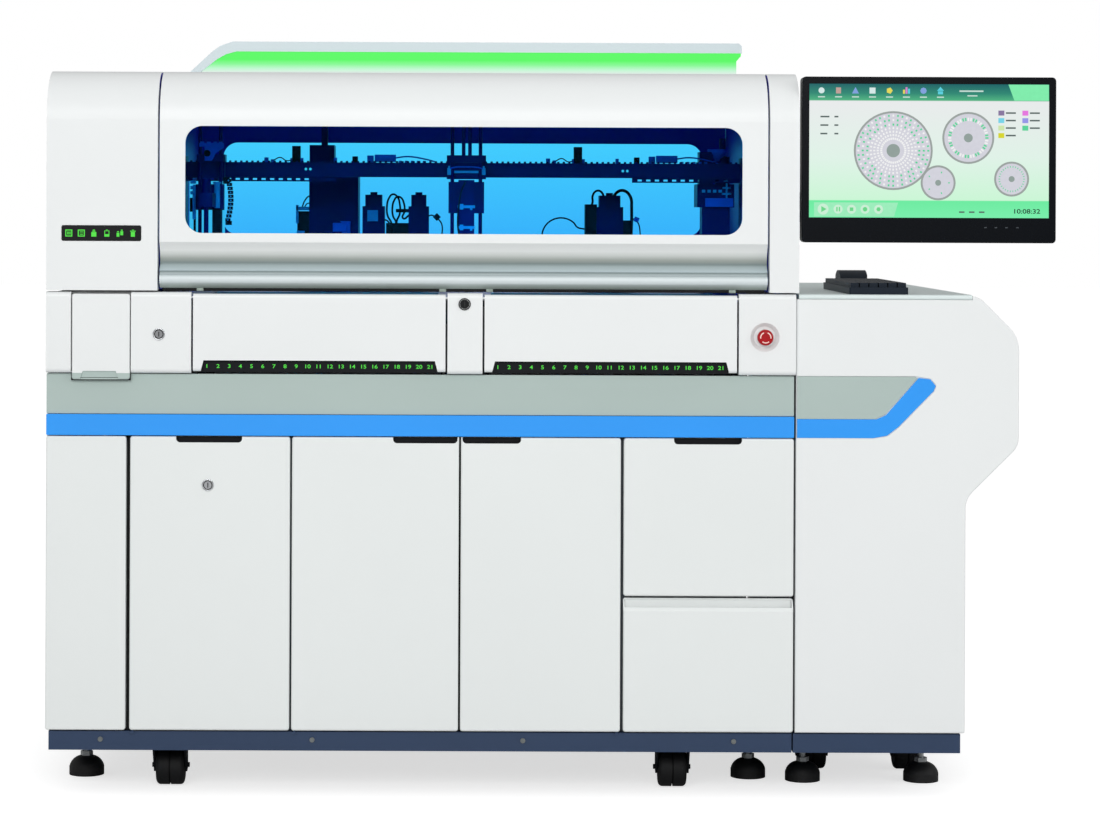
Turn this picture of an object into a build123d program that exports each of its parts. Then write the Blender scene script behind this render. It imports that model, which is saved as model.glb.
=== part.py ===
from build123d import *
import os

# The immunoassay analyzer as an assembly of its real pieces, in millimetres.
# The origin is on the floor, in the middle of the machine; +Z is up and -Y is the operator's side.
# Below, x runs from the left side of the cabinet, d runs back from the plane of the doors
# and z runs up from the floor.

# Overall size
side_right = 1946
monitor_right = 2018
depth = 1000
button_reach = 26
left = -monitor_right / 2
front = -(depth - button_reach) / 2

# Heights of the joints between panels
plinth_bottom = 88
cabinet_bottom = 126
door_bottom = 129
door_top = 717
stripe_bottom = 719
stripe_top = 761
band_top = 842
fascia_bottom = 844
fascia_top = 1006
hood_bottom = 1009
hood_top = 1450
bar_top = 1527

# Sheet thicknesses and fits
skin = 4
sheet = 3
door_depth = 20
running_fit = 0.05
touching_gap = 0.3

# Hood and lid
hood_front = -10
hood_round = 100
hood_back_round = 20
root_half = 0.5 ** 0.5
left_cover_right = 222
lid_left = 226
lid_right = 1441
right_cover_left = 1445
right_cover_right = 1504
lid_back = 347
lid_pivot_d = 335
lid_pivot_z = 1438
lid_pin_radius = 4
cap_return = 25
window_left = 277
window_right = 1390
window_bottom = 1124
window_top = 1338
window_corner = 34
window_gap = 0.5
window_flange = 10
rear_window_bottom = 1113
rear_window_top = 1327

# Fascia, rack covers and rack lanes
fascia_front = -12
fascia_round = 9
cover_spans = ((294, 798), (876, 1380))
cover_bottom = 848
cover_top = 1003
cover_back = -2
cover_pivot_d = -5
cover_pivot_z = 996
cover_pin_radius = 2
notch_inset = 15
notch_top = 870
lane_count = 21
lane_pitch = 22.34
lane_depth = 420

# Lower fronts, each from its left edge to its right edge
side_front_right = 160
door_left_span = (168, 488)
door_centre_span = (492, 826)
door_right_span = (830, 1150)
drawer_span = (1156, 1496)
grip_height = 12
grip_cup = 34
door_round = 4
left_grip = (260, 392)
centre_grip = (694, 823)
right_grip = (833, 950)
cuvette_grip = (1256, 1392)
hinge_inset = 6
hinge_depth = 8
hinge_pin_radius = 2.5
waste_top = 396
cuvette_bottom = 401

# Frame tube and drawer rails
tube = 40
tube_wall = 3
frame_front = 30
frame_back = 920
post_left = 20
post_right = 1450
front_posts = (470, 1134)
floor_tubes = (37, 222, 1242, 1408)
beam_level = 722
top_level = 950
rail_inner_left = 1180
rail_inner_right = 1438
rail_back = 640
rail_levels = (250, 540)
rail_height = 30
rail_thickness = 12

# Plinth
plinth_spans = ((6, 1494), (1497, 1832))
plinth_front = 8
plinth_back = 988
plinth_flange = 75
plinth_lip = 25
screw_places = (110, 534, 956, 1378)
screw_z = 110
screw_radius = 5
pin_boss = 4

# Locks and emergency button
lock_ring_radius = 12
lock_plug_radius = 8
button_x = 1436
button_z = 920
dish_radius = 29
dish_depth = 9
dish_taper = 40
stem_radius = 7
head_radius = 16

# Side module
side_left = 1500
desk_bottom = 996
desk_top_z = 1006
desk_right = 1852

# Casters and feet
caster_places = ((242, 95), (1262, 95))
spare_caster_places = ((242, 880), (1262, 880), (1570, 300), (1770, 300))
cabinet_feet = ((57, 226), (1428, 226), (57, 880), (1428, 880))
side_feet = ((1537, 190), (1781, 190), (1537, 880), (1781, 880))
wheel_radius = 39.5
wheel_width = 57
wheel_groove = 3
groove_depth = 6
caster_trail = 20
axle_radius = 5
swivel_radius = 24
fork_plate = 4
fork_half_depth = 26
fork_shoulder = 84
fork_top = 113
foot_radius = 36
foot_rim = 17
foot_height = 39
foot_neck = 11
nut_radius = 13
nut_height = 9
thread_radius = 6

# Working deck and what stands on it
deck_bottom = 990
deck_top = 996
carousel_places = ((700, 610), (1060, 610))
carousel_radius = 148
carousel_top = 1000
cup_depth = 16
well_floor = 930
spindle_radius = 8
beam_front = 440
beam_back = 470
beam_bottom = 1242
beam_top = 1273
beam_left = 232
beam_right = 1436
slot_pitch = 18.5
slot_length = 9
pipettor_x = 293
gripper_x = 840
guide_radius = 4
guide_depth = 22
guide_foot = 140
guide_top = 1420
probe_d = 312
pipettor_rods = 44
pipettor_block = (1170, 1225)
gripper_rods = 60
gripper_block = (1165, 1232)
tool_bottom = 1085


def y_at(d):
    """Y of a depth behind the door plane."""
    return front + d


def block(x0, x1, d0, d1, z0, z1, mode=Mode.ADD):
    """Box between two corners."""
    with Locations(((x0 + x1) / 2 + left, y_at((d0 + d1) / 2), (z0 + z1) / 2)):
        Box(x1 - x0, d1 - d0, z1 - z0, mode=mode)


def slab(x0, x1, d0, d1, z0, z1, corner, mode=Mode.ADD):
    """Box whose corners are rounded in front view."""
    with BuildSketch(Plane.XZ.offset(-y_at(d1))) as outline:
        with Locations(((x0 + x1) / 2 + left, (z0 + z1) / 2)):
            RectangleRounded(x1 - x0, z1 - z0, corner)
    extrude(outline.sketch, amount=d1 - d0, mode=mode)


def front_shape(points, d0, d1, mode=Mode.ADD):
    """Front-view polygon between two depths; a third number in a point rounds that corner."""
    with BuildSketch(Plane.XZ.offset(-y_at(d1))) as outline:
        with BuildLine():
            Polyline([(point[0] + left, point[1]) for point in points], close=True)
        make_face()
        for point in points:
            if len(point) == 3:
                corner = outline.vertices().sort_by_distance((point[0] + left, point[1], 0))[0]
                fillet(corner, radius=point[2])
    extrude(outline.sketch, amount=d1 - d0, mode=mode)


def rod_x(x0, x1, d, z, radius, mode=Mode.ADD):
    """Cylinder lying across the machine."""
    with Locations(Location(((x0 + x1) / 2 + left, y_at(d), z), (0, 90, 0))):
        Cylinder(radius, x1 - x0, mode=mode)


def rod_y(x, d0, d1, z, radius, mode=Mode.ADD):
    """Cylinder lying front to back."""
    with Locations(Location((x + left, y_at((d0 + d1) / 2), z), (90, 0, 0))):
        Cylinder(radius, d1 - d0, mode=mode)


def rod_z(x, d, z0, z1, radius, mode=Mode.ADD):
    """Upright cylinder."""
    with Locations((x + left, y_at(d), (z0 + z1) / 2)):
        Cylinder(radius, z1 - z0, mode=mode)


def round_front(builder, radius):
    """Round the edges of the face nearest the operator."""
    fillet(builder.faces().sort_by(Axis.Y)[0].edges(), radius=radius)


def finish(builder, label):
    """Label a piece and write it to its own file."""
    builder.part.label = label
    export_step(builder.part, "parts/" + label + ".step")


os.makedirs("parts", exist_ok=True)

# Main frame: welded square tube, with the drawer rails and the upper door pins on it
frame_right = post_right + tube
tubes = []
for level in (cabinet_bottom, beam_level):
    tubes.append((post_left, frame_right, frame_front, frame_front + tube, level, level + tube))
for level in (cabinet_bottom, beam_level, top_level):
    tubes.append((post_left, frame_right, frame_back, frame_back + tube, level, level + tube))
for x in floor_tubes:
    tubes.append((x, x + tube, frame_front, frame_back + tube, cabinet_bottom, cabinet_bottom + tube))
for level in (beam_level, top_level):
    for x in (post_left, post_right):
        tubes.append((x, x + tube, frame_front, frame_back + tube, level, level + tube))
posts = []
for x in (post_left, post_right):
    for d in (frame_front, frame_back):
        posts.append((x, x + tube, d, d + tube, cabinet_bottom, deck_bottom))
for x in front_posts:
    posts.append((x, x + tube, frame_front, frame_front + tube, cabinet_bottom, beam_level + tube))

hinge_places = (
    door_left_span[0] + hinge_inset,
    door_centre_span[0] + hinge_inset,
    door_right_span[1] - hinge_inset,
)
rail_outer_left = front_posts[1] + tube

with BuildPart() as main_frame:
    for corners in tubes + posts:
        block(*corners)
    for x0, x1, d0, d1, z0, z1 in tubes:
        w = tube_wall
        block(x0 + w, x1 - w, d0 + w, d1 - w, z0 + w, z1 - w, mode=Mode.SUBTRACT)
    for x0, x1, d0, d1, z0, z1 in posts:
        w = tube_wall
        block(x0 + w, x1 - w, d0 + w, d1 - w, z0, z1, mode=Mode.SUBTRACT)
    for z in rail_levels:
        block(rail_outer_left, rail_inner_left, frame_front + 6, rail_back, z, z + rail_height)
        block(rail_inner_right, post_right, frame_front + 6, rail_back, z, z + rail_height)
        block(rail_outer_left, post_right, rail_back, rail_back + rail_thickness, z, z + rail_height)
    for x in hinge_places:
        block(x - pin_boss, x + pin_boss, 6.5, frame_front, beam_level, beam_level + 8)
        rod_z(x, hinge_depth, door_top - 11, beam_level + 1, hinge_pin_radius)
finish(main_frame, "main_frame")

# Plinth: skirts under the cabinet and under the side module, with the lower door pins
with BuildPart() as plinth:
    for x0, x1 in plinth_spans:
        block(x0, x1, plinth_front, plinth_back, plinth_bottom, cabinet_bottom)
        block(x0 + sheet, x1 - sheet, plinth_front + sheet, plinth_back - sheet, plinth_bottom,
              cabinet_bottom - sheet, mode=Mode.SUBTRACT)
        block(x0 + plinth_flange, x1 - plinth_flange, plinth_front + plinth_lip, plinth_back - plinth_lip,
              plinth_bottom, cabinet_bottom, mode=Mode.SUBTRACT)
    for x, d in spare_caster_places:
        rod_z(x, d, plinth_bottom, cabinet_bottom, swivel_radius + 2, mode=Mode.SUBTRACT)
    block(side_left + 6, plinth_spans[1][1] - 4, plinth_front + 4, plinth_back - 4, cabinet_bottom, door_bottom)
    for x in hinge_places:
        block(x - pin_boss, x + pin_boss, hinge_depth - pin_boss, plinth_front + sheet, cabinet_bottom - 5,
              cabinet_bottom)
        rod_z(x, hinge_depth, cabinet_bottom - 1, door_bottom + 8, hinge_pin_radius)
finish(plinth, "plinth")

# Round-head screws that hold the plinth front
with BuildPart() as plinth_screws:
    for x in screw_places:
        rod_y(x, plinth_front - 3, plinth_front, screw_z, screw_radius)
finish(plinth_screws, "plinth_screws")

# One levelling foot: a rubber dome, and the nut and threaded stem above it
with BuildPart() as foot_dome:
    with BuildSketch(Plane.XZ):
        with BuildLine():
            Polyline((0, 0), (foot_radius, 0), (foot_radius, foot_rim))
            ThreePointArc((foot_radius, foot_rim), (27, 32), (foot_neck, foot_height))
            Polyline((foot_neck, foot_height), (0, foot_height), (0, 0))
        make_face()
    revolve(axis=Axis.Z)
with BuildPart() as foot_stem:
    with BuildSketch(Plane.XY.offset(foot_height)):
        RegularPolygon(nut_radius, 6)
    extrude(amount=nut_height)
    with BuildSketch(Plane.XY.offset(foot_height)):
        Circle(thread_radius)
    extrude(amount=cabinet_bottom - sheet - foot_height)

with BuildPart() as levelling_feet:
    for x, d in cabinet_feet + side_feet:
        with Locations((x + left, y_at(d), 0)):
            add(foot_dome.part)
            add(foot_stem.part)
finish(levelling_feet, "levelling_feet")

# One caster: the fork with its swivel plate and axle bolts, and the grooved wheel
fork_inner = wheel_width / 2 + 1.5
fork_outer = fork_inner + fork_plate
axle_z = wheel_radius + 0.5
with BuildPart() as caster_fork:
    for side in (-1, 1):
        with BuildSketch(Plane.YZ.offset(side * (fork_inner + fork_outer) / 2)):
            with BuildLine():
                Polyline(
                    (-fork_half_depth, fork_top), (fork_half_depth, fork_top), (fork_half_depth, fork_shoulder),
                    (caster_trail + 11, axle_z - 6), (caster_trail - 9, axle_z - 12),
                    (-fork_half_depth, fork_shoulder), close=True,
                )
            make_face()
        extrude(amount=fork_plate / 2, both=True)
    with Locations((0, 0, fork_top - 2.5)):
        Box(2 * fork_outer, 2 * fork_half_depth, 5)
    with Locations((0, 0, (fork_top + cabinet_bottom) / 2)):
        Cylinder(swivel_radius, cabinet_bottom - fork_top - 0.4)
    with Locations(Location((0, caster_trail, axle_z), (0, 90, 0))):
        Cylinder(axle_radius, 2 * fork_outer + 8)
with BuildPart() as caster_wheel:
    with Locations(Location((0, caster_trail, axle_z), (0, 90, 0))):
        Cylinder(wheel_radius, wheel_width)
    fillet(caster_wheel.edges().filter_by(GeomType.CIRCLE), radius=9)
    with Locations(Location((0, caster_trail, axle_z), (0, 90, 0))):
        Cylinder(axle_radius + running_fit, wheel_width, mode=Mode.SUBTRACT)
        Cylinder(wheel_radius, wheel_groove, mode=Mode.SUBTRACT)
        Cylinder(wheel_radius - groove_depth, wheel_groove)
        Cylinder(axle_radius + running_fit, wheel_width, mode=Mode.SUBTRACT)

for number, (x, d) in enumerate(caster_places, start=1):
    with BuildPart() as fork:
        with Locations((x + left, y_at(d), 0)):
            add(caster_fork.part)
    finish(fork, "caster_fork_" + str(number))
    with BuildPart() as wheel:
        with Locations((x + left, y_at(d), 0)):
            add(caster_wheel.part)
    finish(wheel, "caster_wheel_" + str(number))

with BuildPart() as rear_casters:
    for x, d in spare_caster_places:
        with Locations((x + left, y_at(d), 0)):
            add(caster_fork.part)
            add(caster_wheel.part)
finish(rear_casters, "rear_casters")

# Left side panel, folded round into the narrow fixed front beside the first door
with BuildPart() as left_side_panel:
    slab(0, side_front_right, 0, door_depth, door_bottom, door_top, 5)
    round_front(left_side_panel, 3)
    block(sheet, side_front_right - sheet, sheet, door_depth, door_bottom + sheet, door_top - sheet,
          mode=Mode.SUBTRACT)
    block(0, sheet, 12, depth - 12, door_bottom, band_top)
    block(0, sheet, 21, depth - 12, band_top, fascia_top - 4)
finish(left_side_panel, "left_side_panel")


louvre_spans = ((200, 520), (980, 1300), (1580, 1760))
louvre_bottom = 220
louvre_pitch = 20
louvre_rows = 10


def louvres(x0, x1):
    """Cooling slots through a rear panel."""
    for row in range(louvre_rows):
        z = louvre_bottom + louvre_pitch * (row + 0.25)
        block(x0, x1, depth - 8, depth + 1, z, z + louvre_pitch / 2, mode=Mode.SUBTRACT)


# Rear panels: one on the main cabinet, one on the side module
with BuildPart() as rear_panels:
    slab(4, 1494, depth - sheet, depth, door_bottom, fascia_top - 2, 6)
    front_shape(
        ((side_left + 4, door_bottom + 1), (1835, door_bottom + 1), (1835, 600, 50), (side_right - 5, 706, 35),
         (side_right - 5, 920, 60), (1861, desk_bottom - 5, 20), (side_left + 4, desk_bottom - 5)),
        depth - sheet, depth,
    )
    for span in louvre_spans:
        louvres(*span)
finish(rear_panels, "rear_panels")

# Working deck: pressed sheet with the rack openings, and a well and spindle for each carousel
with BuildPart() as deck_plate:
    block(post_left, frame_right, 24, 984, deck_bottom, deck_top)
    for x0, x1 in cover_spans:
        block(x0 + 16, x1 - 16, 40, lane_depth - 20, deck_bottom, deck_top, mode=Mode.SUBTRACT)
    block(30, 180, 23, 340, deck_bottom, deck_top, mode=Mode.SUBTRACT)
    for x, d in carousel_places:
        rod_z(x, d, well_floor - skin, deck_bottom, carousel_radius + 10)
        rod_z(x, d, well_floor, deck_top, carousel_radius + 6, mode=Mode.SUBTRACT)
        rod_z(x, d, well_floor - skin, carousel_top + 2, spindle_radius)
finish(deck_plate, "deck_plate")

# Hood side covers, closed boxes open at the bottom, with the pins that the lid turns on


def hood_section(x, inset):
    """Side-view face of the hood at one x, set in from the outer surface."""
    low = hood_bottom if inset == 0 else hood_bottom - 1
    face = y_at(hood_front + inset)
    back = y_at(depth - inset)
    top = hood_top - inset
    bend = y_at(hood_front + hood_round)
    back_bend = y_at(depth - hood_back_round)
    big = hood_round - inset
    small = hood_back_round - inset
    with BuildSketch(Plane.YZ.offset(left + x)) as section:
        with BuildLine():
            Line((face, low), (face, hood_top - hood_round))
            ThreePointArc(
                (face, hood_top - hood_round),
                (bend - big * root_half, hood_top - hood_round + big * root_half),
                (bend, top),
            )
            Line((bend, top), (back_bend, top))
            ThreePointArc(
                (back_bend, top),
                (back_bend + small * root_half, hood_top - hood_back_round + small * root_half),
                (back, hood_top - hood_back_round),
            )
            Polyline((back, hood_top - hood_back_round), (back, low), (face, low))
        make_face()
    return section.sketch


display_span = (30, 190)
display_bottom = 1107
display_top = 1139
with BuildPart() as left_hood_cover:
    extrude(hood_section(0, 0), amount=left_cover_right)
    extrude(hood_section(skin, skin), amount=left_cover_right - 2 * skin, mode=Mode.SUBTRACT)
    slab(*display_span, hood_front, hood_front + 2, display_bottom, display_top, 4, mode=Mode.SUBTRACT)
    rod_x(left_cover_right, lid_left + 12, lid_pivot_d, lid_pivot_z, lid_pin_radius)
finish(left_hood_cover, "left_hood_cover")

with BuildPart() as right_hood_cover:
    extrude(hood_section(right_cover_left, 0), amount=right_cover_right - right_cover_left)
    extrude(hood_section(right_cover_left + skin, skin), amount=right_cover_right - right_cover_left - 2 * skin,
            mode=Mode.SUBTRACT)
    rod_x(lid_right - 12, right_cover_left, lid_pivot_d, lid_pivot_z, lid_pin_radius)
finish(right_hood_cover, "right_hood_cover")

# Status display: a thin window strip let into the left hood cover
with BuildPart() as status_display:
    slab(display_span[0] + 0.5, display_span[1] - 0.5, hood_front + 0.4, hood_front + 1.9,
         display_bottom + 0.5, display_top - 0.5, 3.5)
finish(status_display, "status_display")

# Top and rear cover of the hood, with the opening for the rear window
with BuildPart() as hood_top_cover:
    extrude(hood_section(left_cover_right + 0.5, 0), amount=right_cover_left - left_cover_right - 1)
    extrude(hood_section(left_cover_right, skin), amount=right_cover_left - left_cover_right,
            mode=Mode.SUBTRACT)
    block(left_cover_right, right_cover_left, hood_front - 1, 352, hood_bottom - 1, hood_top + 1,
          mode=Mode.SUBTRACT)
    slab(window_left, window_right, depth - skin - 1, depth + 1, rear_window_bottom, rear_window_top,
         window_corner, mode=Mode.SUBTRACT)
finish(hood_top_cover, "hood_top_cover")

with BuildPart() as rear_window:
    slab(window_left + window_gap, window_right - window_gap, depth - skin - 0.2, depth - 0.5,
         rear_window_bottom + window_gap, rear_window_top - window_gap, window_corner - window_gap)
    slab(window_left - window_flange, window_right + window_flange, depth - skin - 3, depth - skin - 0.2,
         rear_window_bottom - window_flange, rear_window_top + window_flange, window_corner)
finish(rear_window, "rear_window")

# Lid: a folded and rounded skin with side caps, a grip along its lower edge and the window opening


def lid_section(x, inset):
    """Side-view face of the lid skin at one x, for one thickness."""
    face = y_at(hood_front)
    inner = y_at(hood_front + inset)
    grip_back = y_at(max(16, hood_front + inset + 2))
    bend = y_at(hood_front + hood_round)
    straight_top = hood_top - hood_round
    big = hood_round - inset
    with BuildSketch(Plane.YZ.offset(left + x)) as section:
        with BuildLine():
            Line((y_at(8), 1014), (y_at(-6), 1024))
            ThreePointArc((y_at(-6), 1024), (face, 1032), (y_at(-6), 1040))
            Polyline((y_at(-6), 1040), (y_at(-2), 1042), (y_at(-2), 1046), (y_at(-5), 1049), (y_at(12), 1063))
            ThreePointArc((y_at(12), 1063), (y_at(5), 1085), (face, 1106))
            Line((face, 1106), (face, straight_top))
            ThreePointArc(
                (face, straight_top),
                (bend - hood_round * root_half, straight_top + hood_round * root_half),
                (bend, hood_top),
            )
            Polyline((bend, hood_top), (y_at(lid_back), hood_top), (y_at(lid_back), hood_top - inset),
                     (bend, hood_top - inset))
            ThreePointArc(
                (bend, hood_top - inset),
                (bend - big * root_half, straight_top + big * root_half),
                (inner, straight_top),
            )
            Polyline((inner, straight_top), (inner, 1112), (grip_back - 1, 1090), (grip_back, 1066),
                     (grip_back, 1014), (y_at(8), 1014))
        make_face()
    return section.sketch


with BuildPart() as lid_shell:
    extrude(lid_section(lid_left, skin), amount=lid_right - lid_left)
    for x in (lid_left, lid_right - skin):
        extrude(lid_section(x, cap_return), amount=skin)
    slab(window_left, window_right, hood_front - 1, hood_front + skin + 1, window_bottom, window_top,
         window_corner, mode=Mode.SUBTRACT)
    rod_x(lid_left - 1, lid_left + skin + 1, lid_pivot_d, lid_pivot_z, lid_pin_radius + running_fit,
          mode=Mode.SUBTRACT)
    rod_x(lid_right - skin - 1, lid_right + 1, lid_pivot_d, lid_pivot_z, lid_pin_radius + running_fit,
          mode=Mode.SUBTRACT)
finish(lid_shell, "lid_shell")

with BuildPart() as lid_window:
    slab(window_left + window_gap, window_right - window_gap, hood_front + 0.3, hood_front + skin + 0.2,
         window_bottom + window_gap, window_top - window_gap, window_corner - window_gap)
    slab(window_left - window_flange, window_right + window_flange, hood_front + skin + 0.2,
         hood_front + skin + 3, window_bottom - window_flange, window_top + window_flange, window_corner)
finish(lid_window, "lid_window")

# Light bar on the hood: a white housing that runs down to the left end, and the green lens in it
bar_front = 358
bar_back = 430
lens_front = bar_front + 1
with BuildPart() as light_bar_housing:
    front_shape(
        ((244, hood_top), (254, 1462), (300, 1505), (318, 1518), (344, bar_top), (1416, bar_top),
         (1422, 1521), (1422, 1506), (1411, 1490), (1411, hood_top)),
        bar_front, bar_back,
    )
    front_shape(
        ((276, 1462), (312, 1490), (330, 1500), (352, 1506), (1423, 1506), (1423, 1500), (1411, 1489),
         (1412, 1462)),
        bar_front - 1, bar_back - 20, mode=Mode.SUBTRACT,
    )
finish(light_bar_housing, "light_bar_housing")

with BuildPart() as light_bar_lens:
    front_shape(
        ((278, 1462.2), (313, 1489.5), (331, 1499.5), (353, 1505.7), (1420, 1505.7), (1420, 1500),
         (1410.5, 1489), (1410.5, 1462.2)),
        lens_front, bar_back - 20.5,
    )
finish(light_bar_lens, "light_bar_lens")

# Fascia pieces: rounded band, open at the back, with the lock rings and the pins of the rack covers


def fascia_piece(builder, x0, x1):
    """Rounded band between two x positions, hollow from the back."""
    block(x0, x1, fascia_front, 20, fascia_bottom, fascia_top)
    edges = builder.faces().sort_by(Axis.Y)[0].edges()
    fillet(edges.filter_by(Axis.X), radius=fascia_round)
    block(x0 + sheet, x1 - sheet, fascia_front + sheet, 21, fascia_bottom + sheet, fascia_top - sheet,
          mode=Mode.SUBTRACT)


def lock_seat(x, z):
    """Raised ring round a lock and the bore that its plug turns in."""
    rod_y(x, fascia_front - 2, fascia_front + 8, z, lock_ring_radius)
    rod_y(x, fascia_front - 3, fascia_front + 9, z, lock_plug_radius + running_fit, mode=Mode.SUBTRACT)


fascia_left_right = 290
fascia_lock_place = (226, 922)
lid_lock_place = (836, 984)
door_lock_place = (324, 620)
fill_span = (52, 168)
fill_bottom = 831
fill_top = 1002
fill_box = (62, 158)
fill_box_back = 310
fill_box_bottom = 856
fill_box_top = 984
lock_access = (184, 272)
with BuildPart() as fascia_left:
    fascia_piece(fascia_left, 0, fascia_left_right)
    block(fill_span[0] - 2, fill_span[1] + 2, fascia_front - 1, 17, fascia_bottom - 1, fascia_top + 1,
          mode=Mode.SUBTRACT)
    block(sheet, fascia_left_right - sheet, 17, 20, fascia_bottom + sheet, fascia_top - sheet)
    block(fill_box[0] - 2, fill_box[1] + 2, 16, 21, fill_box_bottom - 6, fill_box_top + 6,
          mode=Mode.SUBTRACT)
    block(*lock_access, 16, 21, fill_box_bottom + 6, fill_box_top, mode=Mode.SUBTRACT)
    lock_seat(*fascia_lock_place)
    rod_x(fascia_left_right - 1, cover_spans[0][0] + 8, cover_pivot_d, cover_pivot_z, cover_pin_radius)
finish(fascia_left, "fascia_left")

centre_span = (802, 872)
with BuildPart() as fascia_centre:
    fascia_piece(fascia_centre, *centre_span)
    lock_seat(*lid_lock_place)
    rod_x(cover_spans[0][1] - 8, centre_span[0] + 1, cover_pivot_d, cover_pivot_z, cover_pin_radius)
    rod_x(centre_span[1] - 1, cover_spans[1][0] + 8, cover_pivot_d, cover_pivot_z, cover_pin_radius)
finish(fascia_centre, "fascia_centre")

fascia_right_span = (1384, 1498)
with BuildPart() as fascia_right:
    fascia_piece(fascia_right, *fascia_right_span)
    rod_y(button_x, fascia_front + 1, 2, button_z, dish_radius + 4)
    with BuildSketch(Plane.XZ.offset(-y_at(fascia_front))):
        with Locations((button_x + left, button_z)):
            Circle(dish_radius)
    extrude(amount=-dish_depth, taper=dish_taper, mode=Mode.SUBTRACT)
    rod_y(button_x, fascia_front, 3, button_z, stem_radius + running_fit, mode=Mode.SUBTRACT)
    rod_x(cover_spans[1][1] - 8, fascia_right_span[0] + 1, cover_pivot_d, cover_pivot_z, cover_pin_radius)
finish(fascia_right, "fascia_right")

# Rack covers: shallow trays hung on the fascia pins, notched below so the lane numbers show
for side, (x0, x1) in zip(("left", "right"), cover_spans):
    with BuildPart() as rack_cover:
        block(x0, x1, fascia_front, cover_back, cover_bottom, cover_top)
        edges = rack_cover.faces().sort_by(Axis.Y)[0].edges()
        fillet(edges.filter_by(Axis.X), radius=7)
        block(x0 + sheet, x1 - sheet, fascia_front + sheet, cover_back + 1, cover_bottom + sheet,
              cover_top - sheet, mode=Mode.SUBTRACT)
        front_shape(
            ((x0 + notch_inset, cover_bottom - 1), (x0 + notch_inset + 6, notch_top),
             (x1 - notch_inset - 6, notch_top), (x1 - notch_inset, cover_bottom - 1)),
            fascia_front - 1, cover_back + 1, mode=Mode.SUBTRACT,
        )
        for pin_x in (x0 + sheet / 2, x1 - sheet / 2):
            rod_x(pin_x - sheet, pin_x + sheet, cover_pivot_d, cover_pivot_z, cover_pin_radius + running_fit,
                  mode=Mode.SUBTRACT)
    finish(rack_cover, "rack_cover_" + side)

# Rack bays: a floor with a divider on each side of every lane, and the number strip at the front
lane_floor = 850
strip_top = 873
divider_top = 905
bay_inset = 6
with BuildPart() as rack_bays:
    for x0, x1 in cover_spans:
        first_lane = x0 + 27
        block(x0 + bay_inset, x1 - bay_inset, 4, lane_depth, lane_floor - 4, lane_floor)
        block(x0 + bay_inset, x1 - bay_inset, 0, 4, lane_floor - 4, strip_top)
        for x in (x0 + bay_inset, x1 - bay_inset - sheet):
            block(x, x + sheet, 22, lane_depth, beam_level + tube, deck_bottom - 5)
        for lane in range(lane_count + 1):
            x = first_lane + (lane - 0.5) * lane_pitch
            block(x - 1, x + 1, 22, lane_depth - 10, lane_floor, divider_top)
finish(rack_bays, "rack_bays")

# Bottle drawer in the left fascia, with a finger notch under its front
with BuildPart() as fill_drawer:
    slab(*fill_span, fascia_front, 3, fill_bottom, fill_top, 5)
    round_front(fill_drawer, 3)
    block(fill_span[0] + sheet, fill_span[1] - sheet, fascia_front + sheet, 4, fill_bottom + sheet,
          fill_top - sheet, mode=Mode.SUBTRACT)
    notch_shape = (
        (68, fill_bottom - 1), (74, fill_bottom + 17), (140, fill_bottom + 17), (146, fill_bottom - 1),
    )
    front_shape(notch_shape, fascia_front - 1, fascia_front + sheet + 1, mode=Mode.SUBTRACT)
    block(*fill_box, fascia_front + 2, fill_box_back, fill_box_bottom, fill_box_top)
    block(fill_box[0] + sheet, fill_box[1] - sheet, fascia_front + 2 + sheet, fill_box_back - sheet,
          fill_box_bottom + sheet, fill_box_top + 1, mode=Mode.SUBTRACT)
finish(fill_drawer, "fill_drawer")

# Coloured bands under the fascia and the inlays that carry them on round the side module
band_slope = ((1743, 839), (1678, 766), (1660, 757))
with BuildPart() as grey_bands:
    slab(0, 1496, 4, 10, stripe_top + 1, band_top, 2)
    front_shape(((1502, 757), *reversed(band_slope), (1738, 842), (1502, 842)), 1, 2.8)
finish(grey_bands, "grey_bands")

with BuildPart() as blue_stripes:
    slab(0, 1496, 0, 5, stripe_bottom, stripe_top, 2)
    front_shape(
        ((1502, stripe_bottom), (1654, stripe_bottom), (1682, 724), (1705, 742), (1775, 814), (1779, 824),
         (1768, 837), (1745, 839.5), (1680, 765), (1661, 756.4), (1502, 756.4)),
        0.5, 2.8,
    )
finish(blue_stripes, "blue_stripes")

# Lower doors: pressed trays with a finger grip along the top and bores for the hinge pins


def grip_recess(g0, g1, cup_left, cup_right, top):
    """Finger cup behind the top edge of a front, and the cut in the edge that opens into it."""
    block(cup_left, cup_right, sheet, door_depth - 1, top - grip_cup, top)
    block(g0, g1, sheet, door_depth - skin, top - grip_cup + sheet, top + 1, mode=Mode.SUBTRACT)
    block(g0, g1, -1, door_depth - skin, top - grip_height, top + 1, mode=Mode.SUBTRACT)


def door(builder, span, grip, hinge_x):
    """Door tray between two x positions, with its grip cup and hinge bores."""
    x0, x1 = span
    slab(x0, x1, 0, door_depth, door_bottom, door_top, 5)
    round_front(builder, door_round)
    block(x0 + sheet, x1 - sheet, skin, door_depth + 1, door_bottom + sheet, door_top - sheet,
          mode=Mode.SUBTRACT)
    grip_recess(grip[0], grip[1], max(grip[0] - sheet, x0), min(grip[1] + sheet, x1), door_top)
    rod_z(hinge_x, hinge_depth, door_bottom - 1, door_top + 1, hinge_pin_radius + running_fit,
          mode=Mode.SUBTRACT)


with BuildPart() as door_left:
    door(door_left, door_left_span, left_grip, hinge_places[0])
    lock_x, lock_z = door_lock_place
    rod_y(lock_x, -2, 11, lock_z, lock_ring_radius)
    rod_y(lock_x, -3, 12, lock_z, lock_plug_radius + running_fit, mode=Mode.SUBTRACT)
finish(door_left, "door_left")

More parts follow.
